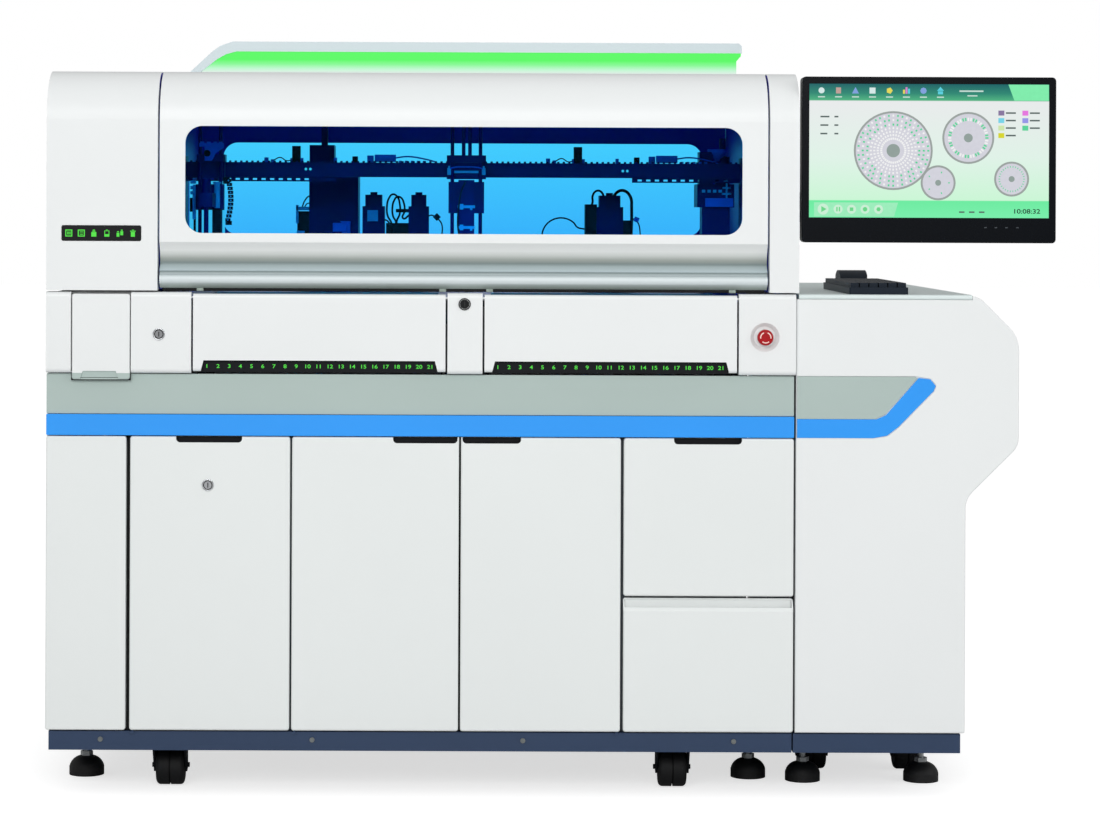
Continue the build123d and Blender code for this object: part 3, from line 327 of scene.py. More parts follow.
# %% [markdown]
# The levelling feet
#
# Each foot is one node in the drawing, but two materials on the real machine: a black rubber dome,
# and a zinc-plated nut and thread above it. Two materials could be split by hand over the faces;
# a mask on height does it without touching the mesh, and it can't miss a face. The thread is drawn
# as a wave in z, at its real pitch of 1.75 mm.

# %% Rubber below, zinc above
FOOT_TOP = 0.0392
THREAD_PITCH_MM = 1.75
feet_finish = surface("rubber dome and zinc thread", "0E0F11", 0.6, drift=0.15, patch_mm=30)
feet_tree = feet_finish.node_tree
feet_shader = feet_tree.nodes["Principled BSDF"]
feet_where, feet_axes = object_axes(feet_tree)
feet_above = add_node(feet_tree, "ShaderNodeMath", {"operation": "GREATER_THAN"}, {
    0: (feet_axes, "Z"), 1: FOOT_TOP})
feet_colour = add_node(feet_tree, "ShaderNodeMix", {"data_type": "RGBA"}, {
    0: (feet_above, "Value"), 6: hex_colour("0E0F11"), 7: hex_colour("B9BDBE")})
feet_thread = add_node(feet_tree, "ShaderNodeTexWave", {"bands_direction": "Z"}, {
    "Vector": (feet_where, "Object"), "Scale": 1000 / THREAD_PITCH_MM / 20})
feet_bump = add_node(feet_tree, "ShaderNodeBump", inputs={
    "Height": (feet_thread, "Fac"), "Distance": 0.0006, "Strength": (feet_above, "Value")})
feet_tree.links.new(feet_colour.outputs[2], feet_shader.inputs["Base Color"])
feet_tree.links.new(feet_above.outputs["Value"], feet_shader.inputs["Metallic"])
feet_tree.links.new(feet_bump.outputs["Normal"], feet_shader.inputs["Normal"])
dress(feet_finish, "levelling_feet")
print("zinc from", FOOT_TOP * 1000, "mm up")

# %% [markdown]
# A drawer front in two colours
#
# The bottle drawer's front runs down past the fascia into the grey band, and its lower strip is
# sprayed to match, so that from the front only a thin line shows where it ends. The same mask on
# height does it, at the fascia's lower edge.

# %% White above, grey-green below
FASCIA_BOTTOM = 0.844
drawer_paint = surface("satin painted ABS in two colours", "EFF2F2", 0.36, drift=0.012, patch_mm=420,
                       grain_mm=2.2, grain_depth_mm=0.006)
drawer_axes = object_axes(drawer_paint.node_tree)[1]
drawer_below = add_node(drawer_paint.node_tree, "ShaderNodeMath", {"operation": "LESS_THAN"}, {
    0: (drawer_axes, "Z"), 1: FASCIA_BOTTOM})
paint_over(drawer_paint, (drawer_below, "Value"), "B2C3BE")
dress(drawer_paint, "fill_drawer")
print("drawer front is grey-green below", FASCIA_BOTTOM * 1000, "mm")

# %% [markdown]
# White outside, navy painted shade inside
#
# The hood's covers are white, but through the window their inner sides read as dark navy, because
# little light gets in there; the finish paints that shade on them as navy. Each cover is one solid,
# so the finish tells inside from outside by direction: a face that looks towards the middle of the
# hood is inside. A dot product does that for a whole cover at once. The hood is three times as wide
# as it is deep, so the direction is flattened along x first. The painted shade stops short of the
# seams and of the top skin, where the edge of a cover shows from outside and is white.

# %% Covers with navy painted shade inside
HOOD_MIDDLE = place(833, 500, 1200)
INNER_SHADE_CORNER = place(0, 22, 1447)
HOOD_SQUEEZE = (0.3, 1.0, 1.0)

abs_with_inner_shade = surface("painted ABS with navy painted shade inside", "EFF2F2", 0.38, drift=0.012, patch_mm=420,
                    grain_mm=2.2, grain_depth_mm=0.006, Specular_IOR_Level=0.35)
inner_shade_tree = abs_with_inner_shade.node_tree
inner_shade_where, inner_shade_axes = object_axes(inner_shade_tree)
inner_shade_spot = add_node(inner_shade_tree, "ShaderNodeVectorMath", {"operation": "SUBTRACT"}, {
    0: (inner_shade_where, "Object"), 1: tuple(HOOD_MIDDLE)})
inner_shade_flat = add_node(inner_shade_tree, "ShaderNodeVectorMath", {"operation": "MULTIPLY"}, {
    0: (inner_shade_spot, "Vector"), 1: HOOD_SQUEEZE})
inner_shade_facing = add_node(inner_shade_tree, "ShaderNodeVectorMath", {"operation": "DOT_PRODUCT"}, {
    0: (inner_shade_flat, "Vector"), 1: (inner_shade_where, "Normal")})
inner_shade_inward = add_node(inner_shade_tree, "ShaderNodeMath", {"operation": "LESS_THAN"}, {
    0: (inner_shade_facing, "Value"), 1: 0.0})
inner_shade_behind = add_node(inner_shade_tree, "ShaderNodeMath", {"operation": "GREATER_THAN"}, {
    0: (inner_shade_axes, "Y"), 1: INNER_SHADE_CORNER.y})
inner_shade_under = add_node(inner_shade_tree, "ShaderNodeMath", {"operation": "LESS_THAN"}, {
    0: (inner_shade_axes, "Z"), 1: INNER_SHADE_CORNER.z})
inner_shade_part = add_node(inner_shade_tree, "ShaderNodeMath", {"operation": "MULTIPLY"}, {
    0: (inner_shade_inward, "Value"), 1: (inner_shade_behind, "Value")})
inner_shade_mask = add_node(inner_shade_tree, "ShaderNodeMath", {"operation": "MULTIPLY"}, {
    0: (inner_shade_part, "Value"), 1: (inner_shade_under, "Value")})
# Navy painted shade on the inner faces, where little light gets in
paint_over(abs_with_inner_shade, (inner_shade_mask, "Value"), "0A0AC0")
dress(abs_with_inner_shade, "hood_top_cover", "left_hood_cover", "right_hood_cover")
print("painted shade behind y", round(INNER_SHADE_CORNER.y, 3), "and under z", round(INNER_SHADE_CORNER.z, 3))

# %% [markdown]
# Painted shade in the grip of the lid
#
# The lid ends below in a hollow for the fingers and a rolled edge. That stretch is painted in greys
# feathered into the white above it: painted shade, darkest in the bottom of the hollow, at the step
# and under the roll, and painted highlights on the ledge and the roll. A ramp over height follows
# the section: hollow, ledge, step and roll.

# %% Lid paint by height, with painted shade and highlights
GRIP_LOW = 1.010
GRIP_HIGH = 1.110
lid_paint_with_shade = surface("painted ABS with painted grip shade", "EFF2F2", 0.36, drift=0.012, patch_mm=420,
                    grain_mm=2.2, grain_depth_mm=0.006)
# Painted shade and highlights of the grip's section, from its lower edge up
GRIP_SHADE_COLOURS = ((1.010, "8E9A96"), (1.018, "A9B6B1"), (1.026, "D6E0E2"), (1.036, "DCE6E8"),
                (1.041, "BAC6C8"), (1.047, "93A1A1"), (1.050, "B9C9CD"), (1.060, "A7B6B8"),
                (1.065, "828F8E"), (1.073, "A3AAA5"), (1.082, "D3D8D5"), (1.090, "EDF0EF"),
                (1.110, "EFF2F2"))
lid_shade_ramp = height_ramp(lid_paint_with_shade.node_tree, GRIP_LOW, GRIP_HIGH, [
    ((height - GRIP_LOW) / (GRIP_HIGH - GRIP_LOW), colour) for height, colour in GRIP_SHADE_COLOURS])
lid_paint_with_shade.node_tree.links.new(
    lid_shade_ramp.outputs["Color"], lid_paint_with_shade.node_tree.nodes["Principled BSDF"].inputs["Base Color"])
dress(lid_paint_with_shade, "lid_shell")
print("grip in", len(GRIP_SHADE_COLOURS), "steps of colour")

# %% [markdown]
# Blue acrylic
#
# Both windows are cast acrylic. The lid's pane is deep blue, and the one in the rear wall is nearly
# clear, so white light from behind arrives as bright cyan and unlit machinery as navy. Light has to
# get in through the panes too. A refracting shader blocks shadow rays, which would leave the chamber
# black, so shadow rays meet a tinted transparent shader instead. Bare acrylic has an index of 1.49
# and mirrors the room. These panes have an anti-glare coat that hides all but a trace, so their
# index is set where their reflection is: a flat pane bends nothing anyway.

# %% Two tints of acrylic, with painted light towards the top
COATED_INDEX = 1.1
# Each pane is tinted lighter towards its upper edge: a painted light gradient over its height.
PANE_BOTTOM = 1.113
PANE_TOP = 1.327


def acrylic(name, low_tint_with_shade, high_tint_with_light):
    """Clear acrylic that lets its own colour through, with painted light growing towards its upper edge.
    """
    finish = bpy.data.materials.new(name)
    finish.use_nodes = True
    tree = finish.node_tree
    shader = tree.nodes["Principled BSDF"]
    shader.inputs["Roughness"].default_value = 0.0
    shader.inputs["IOR"].default_value = COATED_INDEX
    shader.inputs["Transmission Weight"].default_value = 1.0
    # Painted light: the tint grows lighter from the pane's lower edge to its upper edge
    tint_and_painted_light = height_ramp(tree, PANE_BOTTOM, PANE_TOP, ((0, low_tint_with_shade), (1, high_tint_with_light)))
    tree.links.new(tint_and_painted_light.outputs["Color"], shader.inputs["Base Color"])
    path = add_node(tree, "ShaderNodeLightPath")
    through = add_node(tree, "ShaderNodeBsdfTransparent", inputs={"Color": (tint_and_painted_light, "Color")})
    both = add_node(tree, "ShaderNodeMixShader", inputs={
        0: (path, "Is Shadow Ray"), 1: (shader, "BSDF"), 2: (through, "BSDF")})
    tree.links.new(both.outputs["Shader"], tree.nodes["Material Output"].inputs["Surface"])
    return finish


dress(acrylic("cast acrylic deep blue", "45CCFE", "47D2FE"), "lid_window")
dress(acrylic("cast acrylic pale blue", "D4E0FD", "F0FAFF"), "rear_window")
print("panes from", PANE_BOTTOM, "to", PANE_TOP)

# %% [markdown]
# The light bar
#
# A strip of green diodes shines up into a milky acrylic lens, so the lens is saturated green near
# the top and fades to white below. That is a glow, not a paint: the colour goes into emission,
# and a ramp over height gives the fade.

# %% Lit lens
LENS_TOP = 1.5057
LENS_FADE = 0.044
lens_finish = bpy.data.materials.new("milky acrylic lit green")
lens_finish.use_nodes = True
lens_tree = lens_finish.node_tree
lens_shader = lens_tree.nodes["Principled BSDF"]
lens_ramp = height_ramp(lens_tree, LENS_TOP - LENS_FADE, LENS_TOP, (
    (0, "E6F3EC"), (0.18, "C6FDD7"), (0.4, "8BFE9A"), (0.62, "58FF63")))
lens_tree.links.new(lens_ramp.outputs["Color"], lens_shader.inputs["Emission Color"])
lens_shader.inputs["Emission Strength"].default_value = 0.92
lens_shader.inputs["Base Color"].default_value = hex_colour("04120A")
lens_shader.inputs["Specular IOR Level"].default_value = 0.2
lens_shader.inputs["Roughness"].default_value = 0.3
dress(lens_finish, "light_bar_lens")
print("lens fades over", LENS_FADE * 1000, "mm")

# %% [markdown]
# The stop button
#
# An emergency stop is a red nylon mushroom with three pale arrows that say which way to twist it
# free. They are printed, so they are drawn in the finish: a ring between two radii round the
# button's axis, cut into three by its angle. The mask turns with the button.

# %% Red nylon with twist marks
BUTTON_AXIS = place(1436, -20, 920)
MARK_INNER = 0.0092
MARK_OUTER = 0.0114
MARK_CUT = -0.45
red_nylon = surface("moulded nylon red", "B20A16", 0.3, drift=0.12, patch_mm=12, grain_depth_mm=0.004,
                    Specular_IOR_Level=0.3)
red_tree = red_nylon.node_tree
red_where = add_node(red_tree, "ShaderNodeTexCoord")
red_spot = add_node(red_tree, "ShaderNodeVectorMath", {"operation": "SUBTRACT"}, {
    0: (red_where, "Object"), 1: tuple(BUTTON_AXIS)})
red_axes = add_node(red_tree, "ShaderNodeSeparateXYZ", inputs={"Vector": (red_spot, "Vector")})
red_flat = add_node(red_tree, "ShaderNodeCombineXYZ", inputs={
    "X": (red_axes, "X"), "Y": (red_axes, "Z")})
red_reach = add_node(red_tree, "ShaderNodeVectorMath", {"operation": "LENGTH"}, {
    0: (red_flat, "Vector")})
red_ring = add_node(red_tree, "ShaderNodeMath", {"operation": "COMPARE"}, {
    0: (red_reach, "Value"), 1: (MARK_INNER + MARK_OUTER) / 2, 2: (MARK_OUTER - MARK_INNER) / 2})
red_angle = add_node(red_tree, "ShaderNodeMath", {"operation": "ARCTAN2"}, {
    0: (red_axes, "Z"), 1: (red_axes, "X")})
red_thirds = add_node(red_tree, "ShaderNodeMath", {"operation": "MULTIPLY"}, {
    0: (red_angle, "Value"), 1: 3.0})
red_wave = add_node(red_tree, "ShaderNodeMath", {"operation": "SINE"}, {0: (red_thirds, "Value")})
red_cut = add_node(red_tree, "ShaderNodeMath", {"operation": "GREATER_THAN"}, {
    0: (red_wave, "Value"), 1: MARK_CUT})
red_mask = add_node(red_tree, "ShaderNodeMath", {"operation": "MULTIPLY"}, {
    0: (red_ring, "Value"), 1: (red_cut, "Value")})
paint_over(red_nylon, (red_mask, "Value"), "FBD9D0")
dress(red_nylon, "estop_head")
print("printed ring", MARK_INNER * 2000, "to", MARK_OUTER * 2000, "mm across")

# %% [markdown]
# Glowing marks
#
# The lane numbers, the status icons and the monitor's picture all give off light. A lit mark is a
# black surface with emission, at a strength near one so that its colour arrives as written. Real
# displays vary a little from pixel to pixel; a faint noise in the emission keeps them from looking
# like cut paper.

# %% Lit colours
def glow(name, colour, strength=0.95):
    """Self-lit material of one colour with a slight unevenness."""
    finish = bpy.data.materials.new(name)
    finish.use_nodes = True
    tree = finish.node_tree
    shader = tree.nodes["Principled BSDF"]
    bright = hex_colour(colour)
    dim = tuple(c * 0.9 for c in bright[:3]) + (1.0,)
    where = add_node(tree, "ShaderNodeTexCoord")
    spots = add_node(tree, "ShaderNodeTexNoise", inputs={"Vector": (where, "Object"), "Scale": 150.0})
    mix = add_node(tree, "ShaderNodeMix", {"data_type": "RGBA"}, {0: (spots, "Fac"), 6: dim, 7: bright})
    tree.links.new(mix.outputs[2], shader.inputs["Emission Color"])
    shader.inputs["Emission Strength"].default_value = strength
    shader.inputs["Base Color"].default_value = (0.0, 0.0, 0.0, 1.0)
    shader.inputs["Roughness"].default_value = 0.5
    shader.inputs["Specular IOR Level"].default_value = 0.1
    return finish


lit_green = glow("lit display green", "5FF052")

# %% [markdown]
# From shapes to pieces
#
# Most added pieces are small plates, bars and turned parts. Each is built in a bmesh, a few solids
# to a piece, and gets a bevel modifier, because no real edge is sharp and the bevel is what
# catches the light. `piece` turns a bmesh into an object on a body of the machine.

# %% Building helpers
def piece(name, mesh_maker, finish, body, bevel_mm=0.0, smooth=False):
    """Object made from a bmesh, with a finish, riding on a body."""
    mesh = bpy.data.meshes.new(name)
    mesh_maker.to_mesh(mesh)
    mesh_maker.free()
    mesh.materials.append(finish)
    thing = bpy.data.objects.new(name, mesh)
    bpy.context.scene.collection.objects.link(thing)
    if bevel_mm:
        bevel = thing.modifiers.new("edge", "BEVEL")
        bevel.width = bevel_mm / 1000
        bevel.segments = 2
        bevel.limit_method = "ANGLE"
    if smooth:
        for polygon in mesh.polygons:
            polygon.use_smooth = True
    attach(thing, body)
    return thing


def add_box(mesh_maker, x0, x1, d0, d1, z0, z1):
    """Box between two corners of the drawing."""
    low, high = place(x0, d0, z0), place(x1, d1, z1)
    verts = [mesh_maker.verts.new((x, y, z)) for x in (low.x, high.x) for y in (low.y, high.y)
             for z in (low.z, high.z)]
    for face in ((0, 1, 3, 2), (4, 6, 7, 5), (0, 4, 5, 1), (2, 3, 7, 6), (0, 2, 6, 4), (1, 5, 7, 3)):
        mesh_maker.faces.new([verts[i] for i in face])


def add_plate(mesh_maker, outline, d0, d1):
    """Plate of any outline, (x, z) places in the drawing, between two depths."""
    near, far = [[mesh_maker.verts.new(place(x, d, z)) for x, z in outline] for d in (d0, d1)]
    mesh_maker.faces.new(near)
    mesh_maker.faces.new(list(reversed(far)))
    for i in range(len(outline)):
        j = (i + 1) % len(outline)
        mesh_maker.faces.new((near[j], near[i], far[i], far[j]))


def boxes(name, finish, body, corners, bevel_mm=0.0):
    """Piece made of boxes: corners holds (x0, x1, d0, d1, z0, z1) of each."""
    made = bmesh.new()
    for corner in corners:
        add_box(made, *corner)
    return piece(name, made, finish, body, bevel_mm)


def add_turned(mesh_maker, centre, axis, profile, segments=32):
    """Turned part from (distance along the axis, radius) pairs in millimetres; its ends are open."""
    turn = Vector((0, 0, 1)).rotation_difference(Vector(axis)).to_matrix()
    rings = []
    for along, radius in profile:
        ring = []
        for i in range(segments):
            angle = 2 * math.pi * i / segments
            spot = Vector((radius * math.cos(angle), radius * math.sin(angle), along)) / 1000
            ring.append(mesh_maker.verts.new(centre + turn @ spot))
        rings.append(ring)
    for first, second in zip(rings, rings[1:]):
        for i in range(segments):
            j = (i + 1) % segments
            mesh_maker.faces.new((first[i], first[j], second[j], second[i]))
    return rings


def add_rod(mesh_maker, centre, axis, length, radius, segments=24):
    """Plain turned rod with flat ends and a small chamfer."""
    chamfer = min(radius, length) * 0.15
    profile = ((0, radius - chamfer), (chamfer, radius), (length - chamfer, radius),
               (length, radius - chamfer))
    rings = add_turned(mesh_maker, centre, axis, profile, segments)
    mesh_maker.faces.new(list(reversed(rings[0])))
    mesh_maker.faces.new(rings[-1])


def tube(name, points, diameter_mm, finish, body):
    """Round tube or wire along a smooth curve through places of the drawing."""
    curve = bpy.data.curves.new(name, "CURVE")
    curve.dimensions = "3D"
    curve.bevel_depth = diameter_mm / 2000
    curve.bevel_resolution = 4
    curve.resolution_u = 12
    curve.use_fill_caps = True
    spline = curve.splines.new("BEZIER")
    spline.bezier_points.add(len(points) - 1)
    for knot, point in zip(spline.bezier_points, points):
        knot.co = place(*point)
        knot.handle_left_type = knot.handle_right_type = "AUTO"
    curve.materials.append(finish)
    thing = bpy.data.objects.new(name, curve)
    bpy.context.scene.collection.objects.link(thing)
    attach(thing, body)
    return thing


# %% [markdown]
# Lane numbers
#
# Every lane of a rack bay has its number, 1 to 21, glowing on the black strip. The digits are set
# with Blender's own text tool, turned into meshes and merged, so each strip is one piece. They
# stand a fraction of a millimetre proud of the strip, like a window print over a light.

# %% Numbers on the two strips
LANE_PITCH = 22.34
LANE_COUNT = 21
FIRST_LANE = 27
DIGIT_HEIGHT = 7.4
DIGIT_STRETCH = 1.25
DIGIT_LEVEL = 857.6
COVER_LEFT_EDGES = {"left": 294, "right": 876}


def add_text(mesh_maker, text, height_mm, centre):
    """Flat text facing the operator, centred on a point."""
    font = bpy.data.curves.new("text", "FONT")
    font.body = text
    font.size = height_mm / 1000 / 0.7
    font.extrude = 0.0002
    font.offset = height_mm / 1000 * 0.02
    font.align_x = font.align_y = "CENTER"
    sample = bpy.data.objects.new("text", font)
    bpy.context.scene.collection.objects.link(sample)
    bpy.context.view_layer.update()
    mesh = bpy.data.meshes.new_from_object(sample)
    mesh.transform(Matrix.Translation(centre) @ Matrix.Rotation(math.radians(90), 4, "X")
                   @ Matrix.Scale(DIGIT_STRETCH, 4, (1, 0, 0)))
    mesh_maker.from_mesh(mesh)
    bpy.data.meshes.remove(mesh)
    bpy.data.objects.remove(sample)


for side, edge in COVER_LEFT_EDGES.items():
    digits = bmesh.new()
    for lane in range(LANE_COUNT):
        centre = place(edge + FIRST_LANE + lane * LANE_PITCH, -0.3, DIGIT_LEVEL)
        add_text(digits, str(lane + 1), DIGIT_HEIGHT, centre)
    piece("lane_numbers_" + side, digits, lit_green, "cabinet")
print(LANE_COUNT, "numbers on each strip,", LANE_PITCH, "mm apart")

# %% [markdown]
# Status icons
#
# The dark strip on the left of the hood shows six green icons: supplies and waste. They are plain
# pictures of a rack, a tray, a full and a half-full bottle, a pair of vials and a bin, each drawn
# from little bars on a grid of whole millimetres.

# %% Six icons
ICON_PLACES = (45, 70, 95, 121, 147, 173)
ICON_LEVEL = 1123
ICON_SIZE = 14
ICON_FRONT = -10.1
ICON_BACK = -9.5
ICONS = (
    ((0, 14, 0, 2), (0, 14, 12, 14), (0, 2, 2, 12), (12, 14, 2, 12), (4, 5.5, 4, 10), (6.5, 8, 4, 10),
     (9, 10.5, 4, 10)),
    ((0, 14, 0, 2), (0, 14, 12, 14), (0, 2, 2, 12), (12, 14, 2, 12), (4, 10.5, 4, 5.5),
     (4, 10.5, 8.5, 10)),
    ((2, 12, 0, 9), (4, 10, 9.8, 12), (5, 9, 12.6, 14)),
    ((2, 12, 0, 5), (2, 3.4, 5, 11), (10.6, 12, 5, 11), (2, 12, 11, 12.2), (5, 9, 12.8, 14)),
    ((0.5, 6, 0, 8), (1.5, 5, 9, 11), (8, 13.5, 3, 11), (9, 12.5, 12, 14)),
    ((3, 11, 0, 9.5), (1.5, 12.5, 10.3, 12), (5, 9, 12.6, 14)),
)
low_z = ICON_LEVEL - ICON_SIZE / 2
icon_bars = []
for x, bars in zip(ICON_PLACES, ICONS):
    low_x = x - ICON_SIZE / 2
    icon_bars += [(low_x + x0, low_x + x1, ICON_FRONT, ICON_BACK, low_z + z0, low_z + z1)
                  for x0, x1, z0, z1 in bars]
boxes("status_icons", lit_green, "cabinet", icon_bars)
print(len(ICONS), "icons")

# %% [markdown]
# The monitor's picture
#
# The screen is a backlit panel, so its picture is light. Its three grounds, a dark teal bar on
# top, a pale mint page and a green bar below, are one ramp over height with hard steps. The
# software on it belongs to its makers, so this page is a plain one of the same kind: round plans
# of carousels, a key of colour swatches, lines that stand for words, and a clock.

# %% Grounds of the picture
SCREEN_LEFT = 1524.3
SCREEN_BOTTOM = 1160.3
SCREEN_WIDTH = 479.4
SCREEN_HEIGHT = 267.4
screen_finish = bpy.data.materials.new("backlit display panel")
screen_finish.use_nodes = True
screen_tree = screen_finish.node_tree
screen_shader = screen_tree.nodes["Principled BSDF"]
screen_ramp = height_ramp(
    screen_tree, SCREEN_BOTTOM / 1000, (SCREEN_BOTTOM + SCREEN_HEIGHT) / 1000, (
        (0, "7CF4B0"), (0.127, "6FF0A4"), (0.130, "CFFBDA"), (0.45, "E4F7EC"), (0.872, "EDEFF0"),
        (0.877, "4FB684"), (0.93, "2D8A75"), (1, "176468")))
screen_tree.links.new(screen_ramp.outputs["Color"], screen_shader.inputs["Emission Color"])
screen_shader.inputs["Emission Strength"].default_value = 0.95
screen_shader.inputs["Base Color"].default_value = (0.0, 0.0, 0.0, 1.0)
screen_shader.inputs["Roughness"].default_value = 0.25
screen_shader.inputs["Specular IOR Level"].default_value = 0.15
dress(screen_finish, "monitor_screen")
print("picture", SCREEN_WIDTH, "x", SCREEN_HEIGHT, "mm")

# %% Flat shapes on the screen
SCREEN_FACE = 2.0
LAYER_STEP = 0.12


def add_flat(mesh_maker, outline, layer):
    """Thin plate on the screen from points measured from its lower left corner."""
    back = SCREEN_FACE - 0.05 - LAYER_STEP * layer
    add_plate(mesh_maker, [(SCREEN_LEFT + u, SCREEN_BOTTOM + v) for u, v in outline], back - 0.1, back)


def rectangle(u, v, width, height):
    """Corners of an upright rectangle from its lower left corner."""
    return ((u, v), (u + width, v), (u + width, v + height), (u, v + height))


def circle(u, v, radius, count=48):
    """Points round a circle."""
    angles = [2 * math.pi * i / count for i in range(count)]
    return [(u + radius * math.cos(a), v + radius * math.sin(a)) for a in angles]


def ring_cells(u, v, radius, width, height, count, chosen=lambda i: True):
    """Small cells round a ring, each turned to face its centre; chosen(i) picks which are drawn."""
    cells = []
    for i in range(count):
        if not chosen(i):
            continue
        angle = 2 * math.pi * i / count
        out = (math.cos(angle), math.sin(angle))
        side = (-out[1], out[0])
        corners = ((0, -width / 2), (height, -width / 2), (height, width / 2), (0, width / 2))
        cells.append([(u + out[0] * (radius + a) + side[0] * b, v + out[1] * (radius + a) + side[1] * b)
                      for a, b in corners])
    return cells


def on_screen(name, outlines, colour, layer):
    """One lit piece of many flat shapes, all of one colour."""
    flat = bmesh.new()
    for outline in outlines:
        add_flat(flat, outline, layer)
    piece("screen_" + name, flat, glow("lit pixels " + name, colour), "monitor")


# %% [markdown]
# The plans are discs in layers: a grey rim, a lilac face on it, then cells and a hub. Each colour
# is one piece, and each layer lies a tenth of a millimetre nearer than the last, so that no two
# faces fall in one plane.

# %% Round plans
BIG_PLAN = (168, 134, 79)
MIDDLE_PLAN = (318, 160, 52)
SMALL_PLANS = ((258, 70, 35), (405, 78, 35))
plans = (BIG_PLAN, MIDDLE_PLAN) + SMALL_PLANS
on_screen("rims", [circle(u, v, r) for u, v, r in plans], "A2AAA7", 0)
on_screen("faces", [circle(u, v, r - 4) for u, v, r in plans], "DCDCE6", 1)
green_cells = []
white_cells = []
for ring, (radius, count) in enumerate(((68, 48), (59, 44), (50, 40))):
    green_cells += ring_cells(*BIG_PLAN[:2], radius, 3.4, 4.2, count, lambda i: (i * 7 + ring) % 5 < 3)
    white_cells += ring_cells(*BIG_PLAN[:2], radius, 3.4, 4.2, count, lambda i: (i * 7 + ring) % 5 > 2)
for radius in (43, 36, 29, 22):
    white_cells += ring_cells(*BIG_PLAN[:2], radius, 3.2, 4.2, 36)
green_cells += ring_cells(*MIDDLE_PLAN[:2], 34, 3.2, 6.5, 44, lambda i: i % 4 < 2)
white_cells += ring_cells(*MIDDLE_PLAN[:2], 34, 3.2, 6.5, 44, lambda i: i % 4 > 1)
green_cells += ring_cells(*SMALL_PLANS[1][:2], 23, 1.6, 3.4, 30)
green_cells += ring_cells(*SMALL_PLANS[0][:2], 20, 2.4, 3.4, 5)
on_screen("cells_green", green_cells, "62DDA0", 2)
on_screen("cells_white", white_cells, "FBFCFC", 2)
on_screen("hubs", [circle(u, v, r * 0.17) for u, v, r in plans], "98A7A2", 3)
print(len(green_cells), "green cells and", len(white_cells), "white ones")

# %% Bars, icons, key and clock
on_screen("tab", [[(410, 235), (479, 235), (479, 267), (398, 267)]], "86F6B4", 0)
icon_row = [24 + 34 * i for i in range(8)]
on_screen("icons_white", [circle(icon_row[0], 254, 6), rectangle(icon_row[3] - 6, 248, 12, 12)],
          "DFF4F2", 1)
on_screen("icons_rose", [rectangle(icon_row[1] - 5, 248, 10, 12)], "C9A79F", 1)
on_screen("icons_blue", [[(icon_row[2] - 7, 248), (icon_row[2] + 7, 248), (icon_row[2], 261)],
                         circle(icon_row[6], 254, 6.5, 8)], "86A8E6", 1)
on_screen("icons_yellow", [circle(icon_row[4], 254, 6.5, 5), rectangle(icon_row[5] - 7, 248, 4, 8)],
          "EDE25E", 1)
on_screen("icons_pink", [rectangle(icon_row[5] - 2, 248, 4, 13)], "D98AD6", 1)
on_screen("icons_cyan", [rectangle(icon_row[5] + 3, 248, 4, 10),
                         [(icon_row[7] - 7, 254), (icon_row[7] + 7, 254), (icon_row[7], 262)],
                         rectangle(icon_row[7] - 5, 247, 10, 6)], "5FD9E8", 1)
icon_words = [rectangle(u - 7, 240, 14, 2.4) for u in icon_row]
on_screen("words_pale", icon_words + [rectangle(300, 252, 48, 3), rectangle(316, 243, 20, 2.4)],
          "CFE9DF", 1)

swatches = {"plum": "8E7CA6", "orchid": "F07CE8", "sky": "7CDDF2", "lilac": "9C9CF0",
            "lime": "D8F0B4", "jade": "5FDDA2", "gold": "E0DE2E"}
for number, (name, colour) in enumerate(swatches.items()):
    column, row = number % 2, number // 2
    on_screen("key_" + name, [rectangle(378 + column * 48, 205 - row * 15, 12, 10)], colour, 1)
dark_words = [rectangle(393 + (n % 2) * 48, 208.5 - (n // 2) * 15, 20, 3.2) for n in range(7)]
dark_words += [rectangle(22, 200 - 17 * n, 18 - 2 * n, 3.2) for n in range(3)]
dark_words += [rectangle(50, 200 - 17 * n, 8, 3.2) for n in range(3)]
dark_words += [rectangle(300 + 20 * n, 10, 11, 3) for n in range(3)]
on_screen("words_dark", dark_words, "5E6C6A", 1)
on_screen("tray", [[(10, 2), (170, 2), (178, 30), (10, 30)]], "A3F7C4", 0)
buttons = [(28, 16.5, 11)] + [(58 + 27 * n, 16.5, 9) for n in range(4)]
on_screen("buttons", [circle(u, v, r, 32) for u, v, r in buttons], "D3F9DE", 1)
on_screen("signs", [[(24.5, 10.5), (35, 16.5), (24.5, 22.5)],
                    rectangle(54.5, 12, 2.6, 9), rectangle(59.5, 12, 2.6, 9), rectangle(81.5, 13, 7, 7),
                    circle(112, 16.5, 4.5, 24), circle(139, 16.5, 4.5, 6)], "6FE08F", 2)
clock = bmesh.new()
add_text(clock, "10:08:32", 9, place(SCREEN_LEFT + 435, 1.5, SCREEN_BOTTOM + 13))
piece("screen_clock", clock, glow("lit pixels clock", "21302C"), "monitor")

# %% Buttons under the picture
BUTTON_PLACES = (1877, 1898, 1919, 1941)
boxes("monitor_buttons", surface("moulded ABS grey", "3A4048", 0.4), "monitor",
      [(x - 2.5, x + 2.5, -0.4, 0.6, 1140, 1142) for x in BUTTON_PLACES])
print(len(BUTTON_PLACES), "buttons")

# %% [markdown]
# Linings of the finger grips
#
# The doors have a cup behind their top edge to pull them by, and the cup is lined with a black
# plastic insert, which is why it reads as a black slot from the front. The insert is an open tray
# that follows the cup's walls a third of a millimetre off them.

